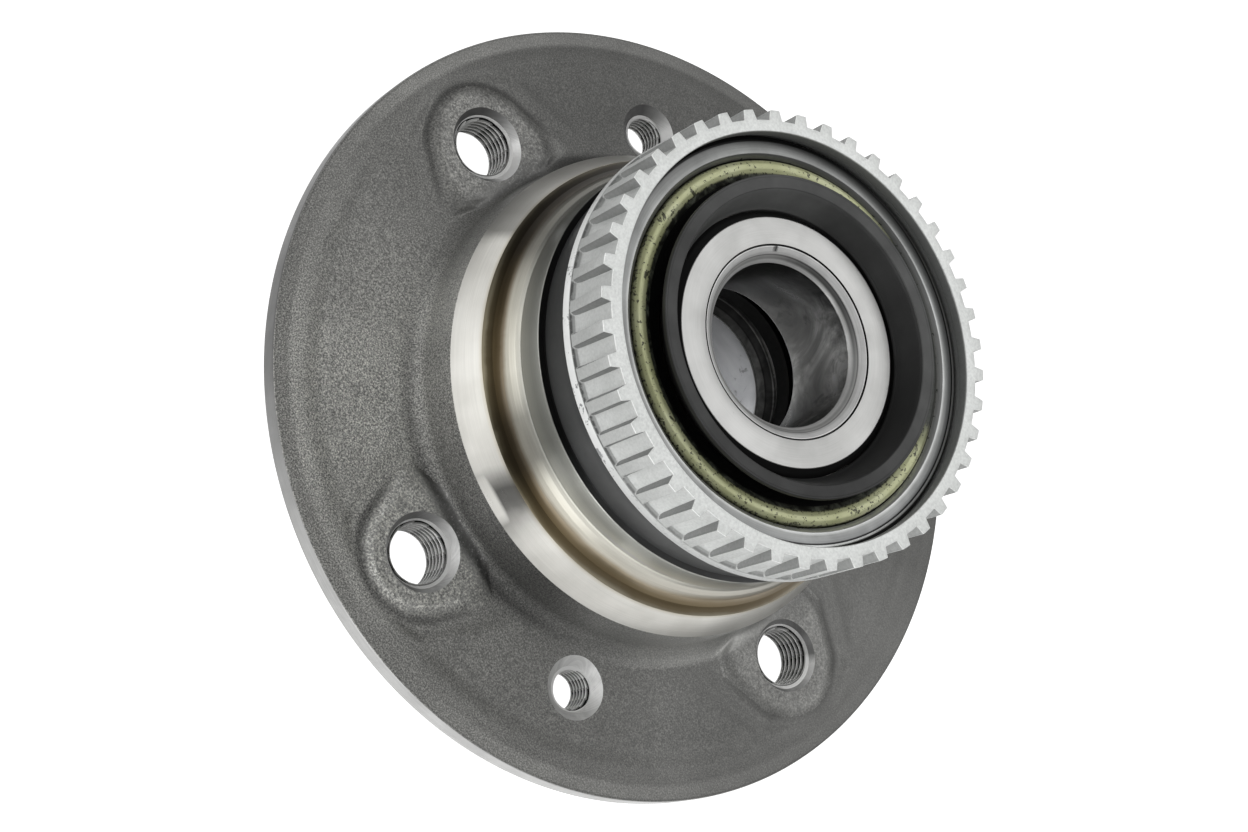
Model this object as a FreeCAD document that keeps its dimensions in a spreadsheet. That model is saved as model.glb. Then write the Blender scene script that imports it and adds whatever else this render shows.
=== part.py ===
import FreeCAD, Part
import math
import os
import re

import Sketcher

# Double-row wheel hub bearing of the non-driven axle kind.
# Millimetres. The origin is the centre of the wheel-bolt circle on the
# wheel-side mounting face, +Z runs along the axle away from the wheel,
# +X runs through one wheel-bolt hole.

DIMS = [
    # flange
    ("rim_rad", 71.5, "outer radius of the wheel flange"),
    ("rim_bevel", 5.3, "bevel of the rim on the wheel side"),
    ("rim_z", 9.2, "height of the raised rim band"),
    ("rim_edge", 0.4, "edge break of the rim band"),
    ("band_rad", 66.0, "inner radius of the raised rim band"),
    ("dish_rad", 64.5, "foot of the rim band on the forged face"),
    ("dish_z", 8.5, "forged face behind the flange"),
    ("root_fillet", 5.2, "fillet between flange and barrel"),
    ("wall_rad", 44.7, "foot radius of the shoulder wall"),
    ("wall_top_rad", 43.9, "top radius of the shoulder wall"),
    ("wall_top_z", 19.2, "top of the shoulder wall"),
    ("cone_rad", 41.1, "small radius of the ground shoulder"),
    ("cone_z", 25.0, "top of the ground shoulder"),
    ("neck_one_rad", 39.7, "neck curve, first radius"),
    ("neck_one_z", 26.3, "neck curve, first height"),
    ("neck_two_rad", 38.8, "neck curve, second radius"),
    ("neck_two_z", 27.6, "neck curve, second height"),
    ("neck_three_rad", 38.3, "neck curve, third radius"),
    ("neck_three_z", 29.1, "neck curve, third height"),
    ("neck_four_rad", 37.6, "neck curve, fourth radius"),
    ("neck_four_z", 30.2, "neck curve, fourth height"),
    ("barrel_rad", 37.3, "ground barrel radius"),
    ("barrel_low_z", 31.2, "start of the ground barrel"),
    ("barrel_top_z", 37.0, "end of the ground barrel"),
    ("band_two_rad", 36.4, "dark band radius"),
    ("band_two_z", 37.4, "start of the dark band"),
    ("seat_rad", 35.6, "seat radius under the tone ring"),
    ("seat_z", 47.0, "shoulder behind the tone ring"),
    ("seat_top_z", 55.0, "end of the tone ring seat"),
    ("end_rad", 34.6, "outer radius of the barrel end face"),
    ("end_z", 56.1, "barrel end face"),
    ("end_edge", 0.8, "edge break inside the barrel end"),
    ("pilot_rad", 32.5, "wheel pilot radius"),
    ("pilot_len", 10.0, "height of the wheel pilot"),
    ("pilot_edge", 1.0, "edge break of the pilot"),
    ("pilot_lip", 0.8, "lead-in of the cap bore"),
    ("cap_rad", 29.5, "cap bore radius"),
    ("cap_z", 8.0, "depth end of the cap bore"),
    # hub inside
    ("seal_in_rad", 31.3, "inboard seal seat radius"),
    ("seal_in_z", 49.5, "inboard seal seat floor"),
    ("land_in_rad", 29.4, "land inboard of the inboard row"),
    ("land_mid_rad", 28.4, "land between the rows"),
    ("seal_out_rad", 29.0, "outboard seal seat radius"),
    ("seal_out_z", 15.5, "outboard seal seat floor"),
    # wheel-bolt holes
    ("bolt_count", 4, "wheel-bolt holes"),
    ("bolt_circle_rad", 54.0, "radius of the wheel-bolt circle"),
    ("bolt_hole_rad", 6.0, "wheel-bolt hole radius"),
    ("bolt_chamfer", 0.7, "chamfer of the bolt hole, inboard"),
    ("pad_rad", 10.4, "pad radius around a bolt hole"),
    ("pad_top_z", 9.8, "top of the bolt pads"),
    ("pad_root", 1.0, "depth that a pad runs into the flange"),
    ("over", 1.0, "run-out of the cuts past a face"),
    # disc-screw holes
    ("screw_rad", 4.0, "disc-screw hole radius"),
    ("screw_sink", 1.65, "countersink of the disc-screw hole"),
    ("screw_break", 0.5, "edge break of the disc-screw hole"),
    ("screw_turn", 40.0, "angle of the first screw hole before +X"),
    ("screw_span", 170.0, "angle between the two screw holes"),
    # tone ring
    ("tooth_count", 44, "teeth of the tone ring"),
    ("tooth_rad", 38.8, "tooth tip radius"),
    ("slot_root_rad", 37.0, "slot floor radius"),
    ("slot_out_rad", 39.6, "outer end of the slot cutter"),
    ("slot_root_half", 1.37, "half width of a slot at its floor"),
    ("slot_out_half", 2.07, "half width of the slot cutter outside"),
    ("slot_floor_z", 49.3, "slot floor towards the flange"),
    ("ring_front_z", 59.0, "front face of the tone ring"),
    ("ring_in_rad", 35.0, "inner edge of the tone ring front"),
    ("ring_step_z", 57.0, "step inside the tone ring"),
    ("ring_edge", 0.3, "edge break of the tone ring"),
    # rows
    ("mid_z", 32.0, "plane where the inner rings meet"),
    ("row_off", 10.0, "distance of a ball row from that plane"),
    ("pitch_rad", 26.0, "pitch radius of the balls"),
    ("ball_rad", 4.7625, "ball radius"),
    ("ball_count", 13, "balls in a row"),
    ("race_rad", 4.85, "raceway radius"),
    ("pocket_rad", 4.95, "cage pocket radius"),
    ("cage_in_rad", 24.2, "inner radius of a cage"),
    ("cage_out_rad", 27.6, "outer radius of a cage"),
    ("cage_half", 6.2, "half height of a cage"),
    ("cage_edge", 0.4, "edge break of a cage"),
    # inner rings
    ("bore_rad", 14.0, "axle bore radius"),
    ("ring_len", 23.1, "length of one inner ring"),
    ("face_in_rad", 16.5, "inner edge of the ring face"),
    ("lead_mid_rad", 15.2, "middle of the bore lead-in"),
    ("lead_mid", 0.8, "depth of the lead-in middle"),
    ("lead_len", 2.2, "length of the bore lead-in"),
    ("ring_rad", 22.9, "outer land of an inner ring"),
    ("ring_corner", 1.6, "corner of an inner ring"),
    ("low_rad", 21.9, "low land of an inner ring"),
    ("low_edge", 0.5, "edge break of the low land"),
    ("recess_rad", 16.8, "clip recess radius"),
    ("recess_len", 3.7, "half length of the clip recess"),
    ("recess_run", 5.5, "end of the recess run-out"),
    # clip
    ("clip_in_rad", 15.9, "clip inner radius"),
    ("clip_out_rad", 16.7, "clip outer radius"),
    ("clip_half", 1.8, "half length of the clip"),
    ("clip_edge", 0.25, "edge break of the clip"),
    # inboard seal
    ("case_in_low", 50.0, "foot of the inboard seal case"),
    ("case_in_bead_z", 55.6, "start of the case bead"),
    ("case_in_top", 56.3, "top of the inboard seal case"),
    ("case_in_lip_z", 55.3, "inner end of the bead slope"),
    ("case_in_bead_rad", 30.7, "crown start of the case bead"),
    ("case_in_bead_in", 29.4, "crown end of the case bead"),
    ("case_in_rad", 27.6, "inner edge of the inboard seal case"),
    ("case_in_under", 55.0, "underside of the case bead"),
    ("case_in_wall", 30.4, "inner radius of the case wall"),
    ("lip_in_low", 51.8, "lower edge of the inboard rubber"),
    ("lip_in_rad", 24.0, "inner edge of the inboard rubber"),
    ("lip_in_low_rad", 26.8, "underside knee of the inboard rubber"),
    ("lip_in_knee", 51.6, "height of that knee"),
    ("lip_in_tip", 52.1, "lower edge of the rubber tip"),
    ("lip_in_tip_top", 52.7, "upper edge of the rubber tip"),
    ("lip_in_back_rad", 26.4, "upper knee of the inboard rubber"),
    ("lip_in_back", 54.0, "height of the upper knee"),
    # slingers
    ("sling_rad", 23.45, "outer radius of a slinger sleeve"),
    ("sling_in_low", 49.6, "inboard slinger, lower end"),
    ("sling_in_mid", 50.2, "inboard slinger, flange top"),
    ("sling_in_top", 53.1, "inboard slinger, upper end"),
    ("sling_flange_rad", 27.4, "outer edge of a slinger flange"),
    ("sling_out_low", 9.9, "outboard slinger, lower end"),
    ("sling_out_mid", 13.9, "outboard slinger, flange foot"),
    ("sling_out_top", 14.5, "outboard slinger, upper end"),
    # V lip
    ("vee_low", 53.2, "foot of the funnel lip"),
    ("vee_foot_rad", 23.9, "outer radius of the funnel foot"),
    ("vee_inner_z", 54.2, "start of the funnel inside"),
    ("vee_tip_in_rad", 25.0, "inner edge of the funnel mouth"),
    ("vee_tip_rad", 27.4, "outer edge of the funnel mouth"),
    ("vee_tip_low", 58.6, "lower edge of the funnel mouth"),
    ("vee_top", 59.5, "height of the funnel mouth"),
    # outboard seal
    ("case_out_low", 9.3, "outboard seal case, face"),
    ("case_out_floor", 9.9, "outboard seal case, floor"),
    ("case_out_top", 14.9, "outboard seal case, upper end"),
    ("case_out_wall", 28.4, "inner radius of that case wall"),
    ("case_out_rad", 25.6, "inner edge of the outboard case"),
    ("lip_out_rad", 23.85, "inner edge of the outboard rubber"),
    ("lip_out_top", 12.6, "upper edge of the outboard rubber"),
    ("lip_out_tip", 12.0, "upper edge of its tip"),
    ("lip_out_tip_low", 11.4, "lower edge of its tip"),
    ("lip_out_knee_rad", 26.4, "knee of the outboard rubber"),
]

doc = FreeCAD.newDocument("wheel_hub_bearing")
sheet = doc.addObject("Spreadsheet::Sheet", "Dims")
for row, (alias, value, note) in enumerate(DIMS, start=1):
    sheet.set("A%d" % row, note)
    sheet.set("B%d" % row, str(value))
    sheet.setAlias("B%d" % row, alias)
doc.recompute()
VALUES = {alias: float(value) for alias, value, note in DIMS}


def tokens(text):
    return re.findall(r"[+-]|[^+\-\s]+", text)


def amount(text):
    # number that a sum of sheet names stands for
    total, sign = 0.0, 1.0
    for token in tokens(text):
        if token == "+":
            sign = 1.0
        elif token == "-":
            sign = -1.0
        else:
            total += sign * (VALUES[token] if token in VALUES else float(token))
            sign = 1.0
    return total


def bound(text):
    # the same sum written for the sheet
    out = []
    for token in tokens(text):
        out.append("Dims." + token if token in VALUES else token)
    return " ".join(out)


def origin_part(body, role):
    for feature in body.Origin.OriginFeatures:
        if feature.Role == role:
            return feature
    raise ValueError(role)


def new_body(label):
    body = doc.addObject("PartDesign::Body", label)
    body.Label = label
    return body


def new_sketch(body, name, role="XZ_Plane"):
    sketch = body.newObject("Sketcher::SketchObject", name)
    sketch.AttachmentSupport = [(origin_part(body, role), "")]
    sketch.MapMode = "FlatFace"
    return sketch


def pin(sketch, geo, pos, axis, text):
    # ties one coordinate of a point to the sheet
    here = amount(text)
    if abs(here) < 1e-9:
        sketch.addConstraint(
            Sketcher.Constraint("PointOnObject", geo, pos, -2 if axis == "X" else -1)
        )
        return
    kind = "Distance" + axis
    if here > 0:
        index = sketch.addConstraint(
            Sketcher.Constraint(kind, -1, 1, geo, pos, here)
        )
        sketch.setExpression("Constraints[%d]" % index, bound(text))
    else:
        index = sketch.addConstraint(
            Sketcher.Constraint(kind, geo, pos, -1, 1, -here)
        )
        sketch.setExpression("Constraints[%d]" % index, "0 - (" + bound(text) + ")")


def polygon(body, name, corners, role="XZ_Plane", axis=None):
    sketch = new_sketch(body, name, role)
    points = [
        FreeCAD.Vector(amount(a), amount(b), 0) for a, b in corners
    ]
    count = len(points)
    for i in range(count):
        sketch.addGeometry(
            Part.LineSegment(points[i], points[(i + 1) % count]), False
        )
    for i in range(count):
        sketch.addConstraint(
            Sketcher.Constraint("Coincident", i, 2, (i + 1) % count, 1)
        )
    for i, (a, b) in enumerate(corners):
        pin(sketch, i, 1, "X", a)
        pin(sketch, i, 1, "Y", b)
    if axis:
        low, high = FreeCAD.Vector(amount(axis), 0, 0), FreeCAD.Vector(
            amount(axis), 20, 0
        )
        geo = sketch.addGeometry(Part.LineSegment(low, high), True)
        pin(sketch, geo, 1, "X", axis)
        pin(sketch, geo, 1, "Y", "0")
        sketch.addConstraint(Sketcher.Constraint("Vertical", geo))
        sketch.addConstraint(
            Sketcher.Constraint("DistanceY", geo, 1, geo, 2, 20.0)
        )
    return sketch


def circle(body, name, a, b, radius, role="XZ_Plane"):
    sketch = new_sketch(body, name, role)
    centre = FreeCAD.Vector(amount(a), amount(b), 0)
    sketch.addGeometry(
        Part.Circle(centre, FreeCAD.Vector(0, 0, 1), amount(radius)), False
    )
    pin(sketch, 0, 3, "X", a)
    pin(sketch, 0, 3, "Y", b)
    index = sketch.addConstraint(
        Sketcher.Constraint("Radius", 0, amount(radius))
    )
    sketch.setExpression("Constraints[%d]" % index, bound(radius))
    return sketch


def turn(body, name, sketch, cut=False, axis="V_Axis"):
    kind = "PartDesign::Groove" if cut else "PartDesign::Revolution"
    feature = body.newObject(kind, name)
    feature.Profile = sketch
    feature.ReferenceAxis = (sketch, [axis])
    feature.Angle = 360
    body.Tip = feature
    return feature


def around(body, name, feature, count, angle="360"):
    pattern = body.newObject("PartDesign::PolarPattern", name)
    pattern.Originals = [feature]
    pattern.Axis = (origin_part(body, "Z_Axis"), [""])
    pattern.Angle = amount(angle)
    pattern.Occurrences = int(amount(count))
    pattern.setExpression("Occurrences", bound(count))
    if angle in VALUES:
        pattern.setExpression("Angle", bound(angle))
    body.Tip = pattern
    return pattern


def ring(label, corners):
    # a turned ring from one closed section
    body = new_body(label)
    sketch = polygon(body, label + "_section", corners)
    turn(body, label + "_turned", sketch)
    return body


def edge_names(shape, radius, height):
    # circular edges about Z with this radius and height
    names = []
    for i, edge in enumerate(shape.Edges, start=1):
        curve = edge.Curve
        if (
            isinstance(curve, Part.Circle)
            and abs(curve.Radius - radius) < 0.01
            and abs(curve.Center.z - height) < 0.01
            and math.hypot(curve.Center.x, curve.Center.y) < 0.01
        ):
            names.append("Edge%d" % i)
    return names


# ---------------------------------------------------------------- hub flange
hub = new_body("hub_flange")
section = polygon(
    hub,
    "hub_section",
    [
        ("pilot_rad - pilot_edge", "0 - pilot_len"),
        ("pilot_rad", "pilot_edge - pilot_len"),
        ("pilot_rad", "0"),
        ("rim_rad - rim_bevel", "0"),
        ("rim_rad", "rim_bevel"),
        ("rim_rad", "rim_z - rim_edge"),
        ("rim_rad - rim_edge", "rim_z"),
        ("band_rad", "rim_z"),
        ("dish_rad", "dish_z"),
        ("wall_rad", "dish_z"),
        ("wall_top_rad", "wall_top_z"),
        ("cone_rad", "cone_z"),
        ("neck_one_rad", "neck_one_z"),
        ("neck_two_rad", "neck_two_z"),
        ("neck_three_rad", "neck_three_z"),
        ("neck_four_rad", "neck_four_z"),
        ("barrel_rad", "barrel_low_z"),
        ("barrel_rad", "barrel_top_z"),
        ("band_two_rad", "band_two_z"),
        ("band_two_rad", "seat_z"),
        ("seat_rad", "seat_z"),
        ("seat_rad", "seat_top_z"),
        ("end_rad", "end_z"),
        ("seal_in_rad + end_edge", "end_z"),
        ("seal_in_rad", "end_z - end_edge"),
        ("seal_in_rad", "seal_in_z"),
        ("land_in_rad", "seal_in_z"),
        ("land_in_rad", "mid_z + row_off"),
        ("land_mid_rad", "mid_z + row_off"),
        ("land_mid_rad", "seal_out_z"),
        ("seal_out_rad", "seal_out_z"),
        ("seal_out_rad", "cap_z"),
        ("cap_rad", "cap_z"),
        ("cap_rad", "pilot_lip - pilot_len"),
        ("cap_rad + pilot_lip", "0 - pilot_len"),
    ],
)
blank = turn(hub, "hub_turned", section)
doc.recompute()

fillet = hub.newObject("PartDesign::Fillet", "hub_root_fillet")
fillet.Base = (
    blank,
    edge_names(blank.Shape, VALUES["wall_rad"], VALUES["dish_z"]),
)
fillet.Radius = VALUES["root_fillet"]
fillet.setExpression("Radius", "Dims.root_fillet")
hub.Tip = fillet
doc.recompute()

pad_sketch = circle(
    hub, "bolt_pad_outline", "bolt_circle_rad", "0", "pad_rad", "XY_Plane"
)
pad_sketch.AttachmentOffset = FreeCAD.Placement(
    FreeCAD.Vector(0, 0, amount("dish_z - pad_root")), FreeCAD.Rotation()
)
pad_sketch.setExpression(
    ".AttachmentOffset.Base.z", bound("dish_z - pad_root")
)
pad = hub.newObject("PartDesign::Pad", "bolt_pad")
pad.Profile = pad_sketch
pad.Length = amount("pad_top_z - dish_z + pad_root")
pad.setExpression("Length", bound("pad_top_z - dish_z + pad_root"))
hub.Tip = pad
around(hub, "bolt_pads", pad, "bolt_count")
doc.recompute()

for word, sign in (("inboard", "+"), ("outboard", "-")):
    race = circle(
        hub,
        "hub_race_%s_section" % word,
        "pitch_rad",
        "mid_z %s row_off" % sign,
        "race_rad",
    )
    turn(hub, "hub_race_%s" % word, race, cut=True)
    doc.recompute()

bolt_sketch = polygon(
    hub,
    "bolt_hole_section",
    [
        ("bolt_circle_rad", "0 - over"),
        ("bolt_circle_rad + bolt_hole_rad", "0 - over"),
        ("bolt_circle_rad + bolt_hole_rad", "pad_top_z - bolt_chamfer"),
        (
            "bolt_circle_rad + bolt_hole_rad + bolt_chamfer + over",
            "pad_top_z + over",
        ),
        ("bolt_circle_rad", "pad_top_z + over"),
    ],
    axis="bolt_circle_rad",
)
bolt_cut = turn(hub, "bolt_hole", bolt_sketch, cut=True, axis="Axis0")
doc.recompute()
around(hub, "bolt_holes", bolt_cut, "bolt_count")
doc.recompute()

screw_sketch = polygon(
    hub,
    "screw_hole_section",
    [
        ("bolt_circle_rad", "0 - over"),
        ("bolt_circle_rad + screw_rad + screw_break + over", "0 - over"),
        ("bolt_circle_rad + screw_rad", "screw_break"),
        ("bolt_circle_rad + screw_rad", "dish_z - screw_sink"),
        (
            "bolt_circle_rad + screw_rad + screw_sink + over",
            "dish_z + over",
        ),
        ("bolt_circle_rad", "dish_z + over"),
    ],
    axis="bolt_circle_rad",
)
# the section plane is turned about the axle to the first screw hole
screw_sketch.AttachmentOffset = FreeCAD.Placement(
    FreeCAD.Vector(0, 0, 0),
    FreeCAD.Rotation(FreeCAD.Vector(0, 1, 0), -VALUES["screw_turn"]),
)
screw_sketch.setExpression(
    ".AttachmentOffset.Rotation.Angle", "0 - Dims.screw_turn"
)
screw_cut = turn(hub, "screw_hole", screw_sketch, cut=True, axis="Axis0")
doc.recompute()
pattern = hub.newObject("PartDesign::PolarPattern", "screw_holes")
pattern.Originals = [screw_cut]
pattern.Axis = (origin_part(hub, "Z_Axis"), [""])
pattern.Occurrences = 2
pattern.Angle = VALUES["screw_span"]
pattern.setExpression("Angle", "Dims.screw_span")
hub.Tip = pattern
doc.recompute()

# ----------------------------------------------------------------- tone ring
tone = ring(
    "tone_ring",
    [
        ("seat_rad", "seat_z"),
        ("tooth_rad - ring_edge", "seat_z"),
        ("tooth_rad", "seat_z + ring_edge"),
        ("tooth_rad", "ring_front_z - ring_edge"),
        ("tooth_rad - ring_edge", "ring_front_z"),
        ("ring_in_rad", "ring_front_z"),
        ("ring_in_rad", "ring_step_z"),
        ("seat_rad", "ring_step_z - seat_rad + ring_in_rad"),
    ],
)
slot_sketch = polygon(
    tone,
    "slot_outline",
    [
        ("slot_root_rad", "0 - slot_root_half"),
        ("slot_out_rad", "0 - slot_out_half"),
        ("slot_out_rad", "slot_out_half"),
        ("slot_root_rad", "slot_root_half"),
    ],
    role="XY_Plane",
)
slot_sketch.AttachmentOffset = FreeCAD.Placement(
    FreeCAD.Vector(0, 0, amount("ring_front_z + over")), FreeCAD.Rotation()
)
slot_sketch.setExpression(
    ".AttachmentOffset.Base.z", bound("ring_front_z + over")
)
slot = tone.newObject("PartDesign::Pocket", "slot")
slot.Profile = slot_sketch
slot.Length = amount("ring_front_z + over - slot_floor_z")
slot.setExpression("Length", bound("ring_front_z + over - slot_floor_z"))
tone.Tip = slot
doc.recompute()
around(tone, "slots", slot, "tooth_count")
doc.recompute()

# --------------------------------------------------------------- inner rings
for label, s, o in (
    ("inner_ring_inboard", "+", "-"),
    ("inner_ring_outboard", "-", "+"),
):
    end = "mid_z %s ring_len" % s
    body = ring(
        label,
        [
            ("recess_rad", "mid_z"),
            ("recess_rad", "mid_z %s recess_len" % s),
            ("bore_rad", "mid_z %s recess_run" % s),
            ("bore_rad", "%s %s lead_len" % (end, o)),
            ("lead_mid_rad", "%s %s lead_mid" % (end, o)),
            ("face_in_rad", end),
            ("ring_rad - ring_corner", end),
            ("ring_rad", "%s %s ring_corner" % (end, o)),
            ("ring_rad", "mid_z %s row_off" % s),
            ("low_rad", "mid_z %s row_off" % s),
            ("low_rad", "mid_z %s low_edge" % s),
            ("low_rad - low_edge", "mid_z"),
        ],
    )
    race = circle(
        body,
        label + "_race_section",
        "pitch_rad",
        "mid_z %s row_off" % s,
        "race_rad",
    )
    doc.recompute()
    turn(body, label + "_race", race, cut=True)

ring(
    "ring_clip",
    [
        ("clip_in_rad", "mid_z - clip_half"),
        ("clip_out_rad - clip_edge", "mid_z - clip_half"),
        ("clip_out_rad", "mid_z - clip_half + clip_edge"),
        ("clip_out_rad", "mid_z + clip_half - clip_edge"),
        ("clip_out_rad - clip_edge", "mid_z + clip_half"),
        ("clip_in_rad", "mid_z + clip_half"),
    ],
)

# --------------------------------------------------------------------- seals
ring(
    "inboard_seal_case",
    [
        ("case_in_wall", "case_in_low"),
        ("seal_in_rad", "case_in_low"),
        ("seal_in_rad", "case_in_bead_z"),
        ("case_in_bead_rad", "case_in_top"),
        ("case_in_bead_in", "case_in_top"),
        ("case_in_rad", "case_in_lip_z"),
        ("case_in_rad", "case_in_under"),
        ("case_in_wall", "case_in_under"),
    ],
)
ring(
    "inboard_seal_lip",
    [
        ("case_in_wall", "lip_in_low"),
        ("case_in_wall", "case_in_under"),
        ("case_in_rad", "case_in_under"),
        ("lip_in_back_rad", "lip_in_back"),
        ("lip_in_rad", "lip_in_tip_top"),
        ("lip_in_rad", "lip_in_tip"),
        ("lip_in_low_rad", "lip_in_knee"),
    ],
)
ring(
    "inboard_slinger",
    [
        ("ring_rad", "sling_in_low"),
        ("sling_flange_rad", "sling_in_low"),
        ("sling_flange_rad", "sling_in_mid"),
        ("sling_rad", "sling_in_mid"),
        ("sling_rad", "sling_in_top"),
        ("ring_rad", "sling_in_top"),
    ],
)
vee = ring(
    "inboard_v_lip",
    [
        ("ring_rad", "vee_low"),
        ("vee_foot_rad", "vee_low"),
        ("vee_tip_rad", "vee_tip_low"),
        ("vee_tip_rad", "vee_top"),
        ("vee_tip_in_rad", "vee_top"),
        ("ring_rad", "vee_inner_z"),
    ],
)
ring(
    "outboard_seal_case",
    [
        ("case_out_rad", "case_out_low"),
        ("seal_out_rad", "case_out_low"),
        ("seal_out_rad", "case_out_top"),
        ("case_out_wall", "case_out_top"),
        ("case_out_wall", "case_out_floor"),
        ("case_out_rad", "case_out_floor"),
    ],
)
ring(
    "outboard_seal_lip",
    [
        ("case_out_rad", "case_out_floor"),
        ("case_out_wall", "case_out_floor"),
        ("case_out_wall", "lip_out_top"),
        ("lip_out_knee_rad", "lip_out_top"),
        ("lip_out_rad", "lip_out_tip"),
        ("lip_out_rad", "lip_out_tip_low"),
    ],
)
ring(
    "outboard_slinger",
    [
        ("ring_rad", "sling_out_low"),
        ("sling_rad", "sling_out_low"),
        ("sling_rad", "sling_out_mid"),
        ("sling_flange_rad", "sling_out_mid"),
        ("sling_flange_rad", "sling_out_top"),
        ("ring_rad", "sling_out_top"),
    ],
)

# ----------------------------------------------------------- cages and balls
balls = []
for word, sign, phase in (("inboard", "+", 0.0), ("outboard", "-", 0.5)):
    label = "ball_cage_" + word
    row_z = "mid_z %s row_off" % sign
    body = ring(
        label,
        [
            ("cage_in_rad", row_z + " - cage_half"),
            ("cage_out_rad - cage_edge", row_z + " - cage_half"),
            ("cage_out_rad", row_z + " - cage_half + cage_edge"),
            ("cage_out_rad", row_z + " + cage_half - cage_edge"),
            ("cage_out_rad - cage_edge", row_z + " + cage_half"),
            ("cage_in_rad", row_z + " + cage_half"),
        ],
    )
    doc.recompute()
    # one round ball pocket, bored from the outside towards the axle
    bore = polygon(
        body,
        label + "_pocket_section",
        [
            ("cage_in_rad - over", row_z),
            ("cage_out_rad + over", row_z),
            ("cage_out_rad + over", row_z + " + pocket_rad"),
            ("cage_in_rad - over", row_z + " + pocket_rad"),
        ],
    )
    low = FreeCAD.Vector(0, amount(row_z), 0)
    high = FreeCAD.Vector(20, amount(row_z), 0)
    line = bore.addGeometry(Part.LineSegment(low, high), True)
    pin(bore, line, 1, "X", "0")
    pin(bore, line, 1, "Y", row_z)
    bore.addConstraint(Sketcher.Constraint("Horizontal", line))
    bore.addConstraint(
        Sketcher.Constraint("DistanceX", line, 1, line, 2, 20.0)
    )
    bore.AttachmentOffset = FreeCAD.Placement(
        FreeCAD.Vector(0, 0, 0),
        FreeCAD.Rotation(
            FreeCAD.Vector(0, 1, 0), 360.0 / VALUES["ball_count"] * phase
        ),
    )
    turned = "360 deg / Dims.ball_count * %s"
    if phase:
        bore.setExpression(
            ".AttachmentOffset.Rotation.Angle", turned % phase
        )
    pocket = turn(body, label + "_pocket", bore, cut=True, axis="Axis0")
    doc.recompute()
    around(body, label + "_pockets", pocket, "ball_count")
    doc.recompute()
    for number in range(int(VALUES["ball_count"])):
        name = "ball_%s_%02d" % (word, number + 1)
        ball = doc.addObject("Part::Sphere", name)
        ball.Label = name
        ball.setExpression("Radius", "Dims.ball_rad")
        step = turned % (number + phase)
        ball.setExpression(
            "Placement.Base.x", "Dims.pitch_rad * cos(%s)" % step
        )
        ball.setExpression(
            "Placement.Base.y", "Dims.pitch_rad * sin(%s)" % step
        )
        ball.setExpression("Placement.Base.z", bound(row_z))
        balls.append(ball)

doc.recompute()

# ------------------------------------------------------------------- writing
for item in doc.Objects:
    if "Invalid" in item.State or "Error" in item.State:
        raise RuntimeError("failed feature: " + item.Name + " " + str(item.State))
for name, before in (
    ("bolt_pads", "bolt_pad"),
    ("bolt_holes", "bolt_hole"),
    ("screw_holes", "screw_hole"),
    ("slots", "slot"),
    ("ball_cage_inboard_pockets", "ball_cage_inboard_pocket"),
    ("ball_cage_outboard_pockets", "ball_cage_outboard_pocket"),
):
    done = doc.getObject(name).Shape.Volume
    was = doc.getObject(before).Shape.Volume
    if abs(done - was) < 1.0:
        raise RuntimeError("pattern without effect: " + name)

os.makedirs("parts", exist_ok=True)
pieces = [o for o in doc.Objects if o.TypeId == "PartDesign::Body"] + balls
for piece in pieces:
    shape = piece.Shape
    if shape.isNull() or not shape.isValid() or len(shape.Solids) != 1:
        raise RuntimeError("bad shape: " + piece.Label)
    shape.exportStep("parts/" + piece.Label + ".step")
print(len(pieces), "pieces written")
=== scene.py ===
import math

import bmesh
import bpy
import numpy as np
from mathutils import Matrix, Vector


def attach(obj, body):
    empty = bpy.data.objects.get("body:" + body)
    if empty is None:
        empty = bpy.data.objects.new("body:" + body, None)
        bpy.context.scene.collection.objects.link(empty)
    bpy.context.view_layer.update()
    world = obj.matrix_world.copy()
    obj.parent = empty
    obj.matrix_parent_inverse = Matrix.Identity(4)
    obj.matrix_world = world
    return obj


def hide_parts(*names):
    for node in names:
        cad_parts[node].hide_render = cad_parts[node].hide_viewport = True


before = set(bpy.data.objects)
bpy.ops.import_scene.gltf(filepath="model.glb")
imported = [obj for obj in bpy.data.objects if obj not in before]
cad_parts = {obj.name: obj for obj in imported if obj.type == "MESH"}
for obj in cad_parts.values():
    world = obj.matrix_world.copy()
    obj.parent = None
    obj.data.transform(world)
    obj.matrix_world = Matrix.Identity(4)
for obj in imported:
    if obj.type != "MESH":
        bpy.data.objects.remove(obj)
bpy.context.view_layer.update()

MM = 0.001

# --------------------------------------------------------------- camera
camera_data = bpy.data.cameras.new("photo_camera")
camera = bpy.data.objects.new("photo_camera", camera_data)
bpy.context.collection.objects.link(camera)
cx = Vector((-0.504107, -0.674893, 0.538883)).normalized()
cz = Vector((0.101101, 0.573561, 0.812900))
cz = (cz - cx * cz.dot(cx)).normalized()
cy = cz.cross(cx).normalized()
camera.matrix_world = Matrix(
    (
        (cx.x, cy.x, cz.x, 0.039818),
        (cx.y, cy.y, cz.y, 0.231998),
        (cx.z, cy.z, cz.z, 0.332437),
        (0, 0, 0, 1),
    )
)
camera_data.sensor_fit = "HORIZONTAL"
camera_data.sensor_width = 36.0
camera_data.lens = 2200.0 / 1248.0 * 36.0
camera_data.clip_start = 0.01
camera_data.clip_end = 50.0
bpy.context.scene.camera = camera


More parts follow.
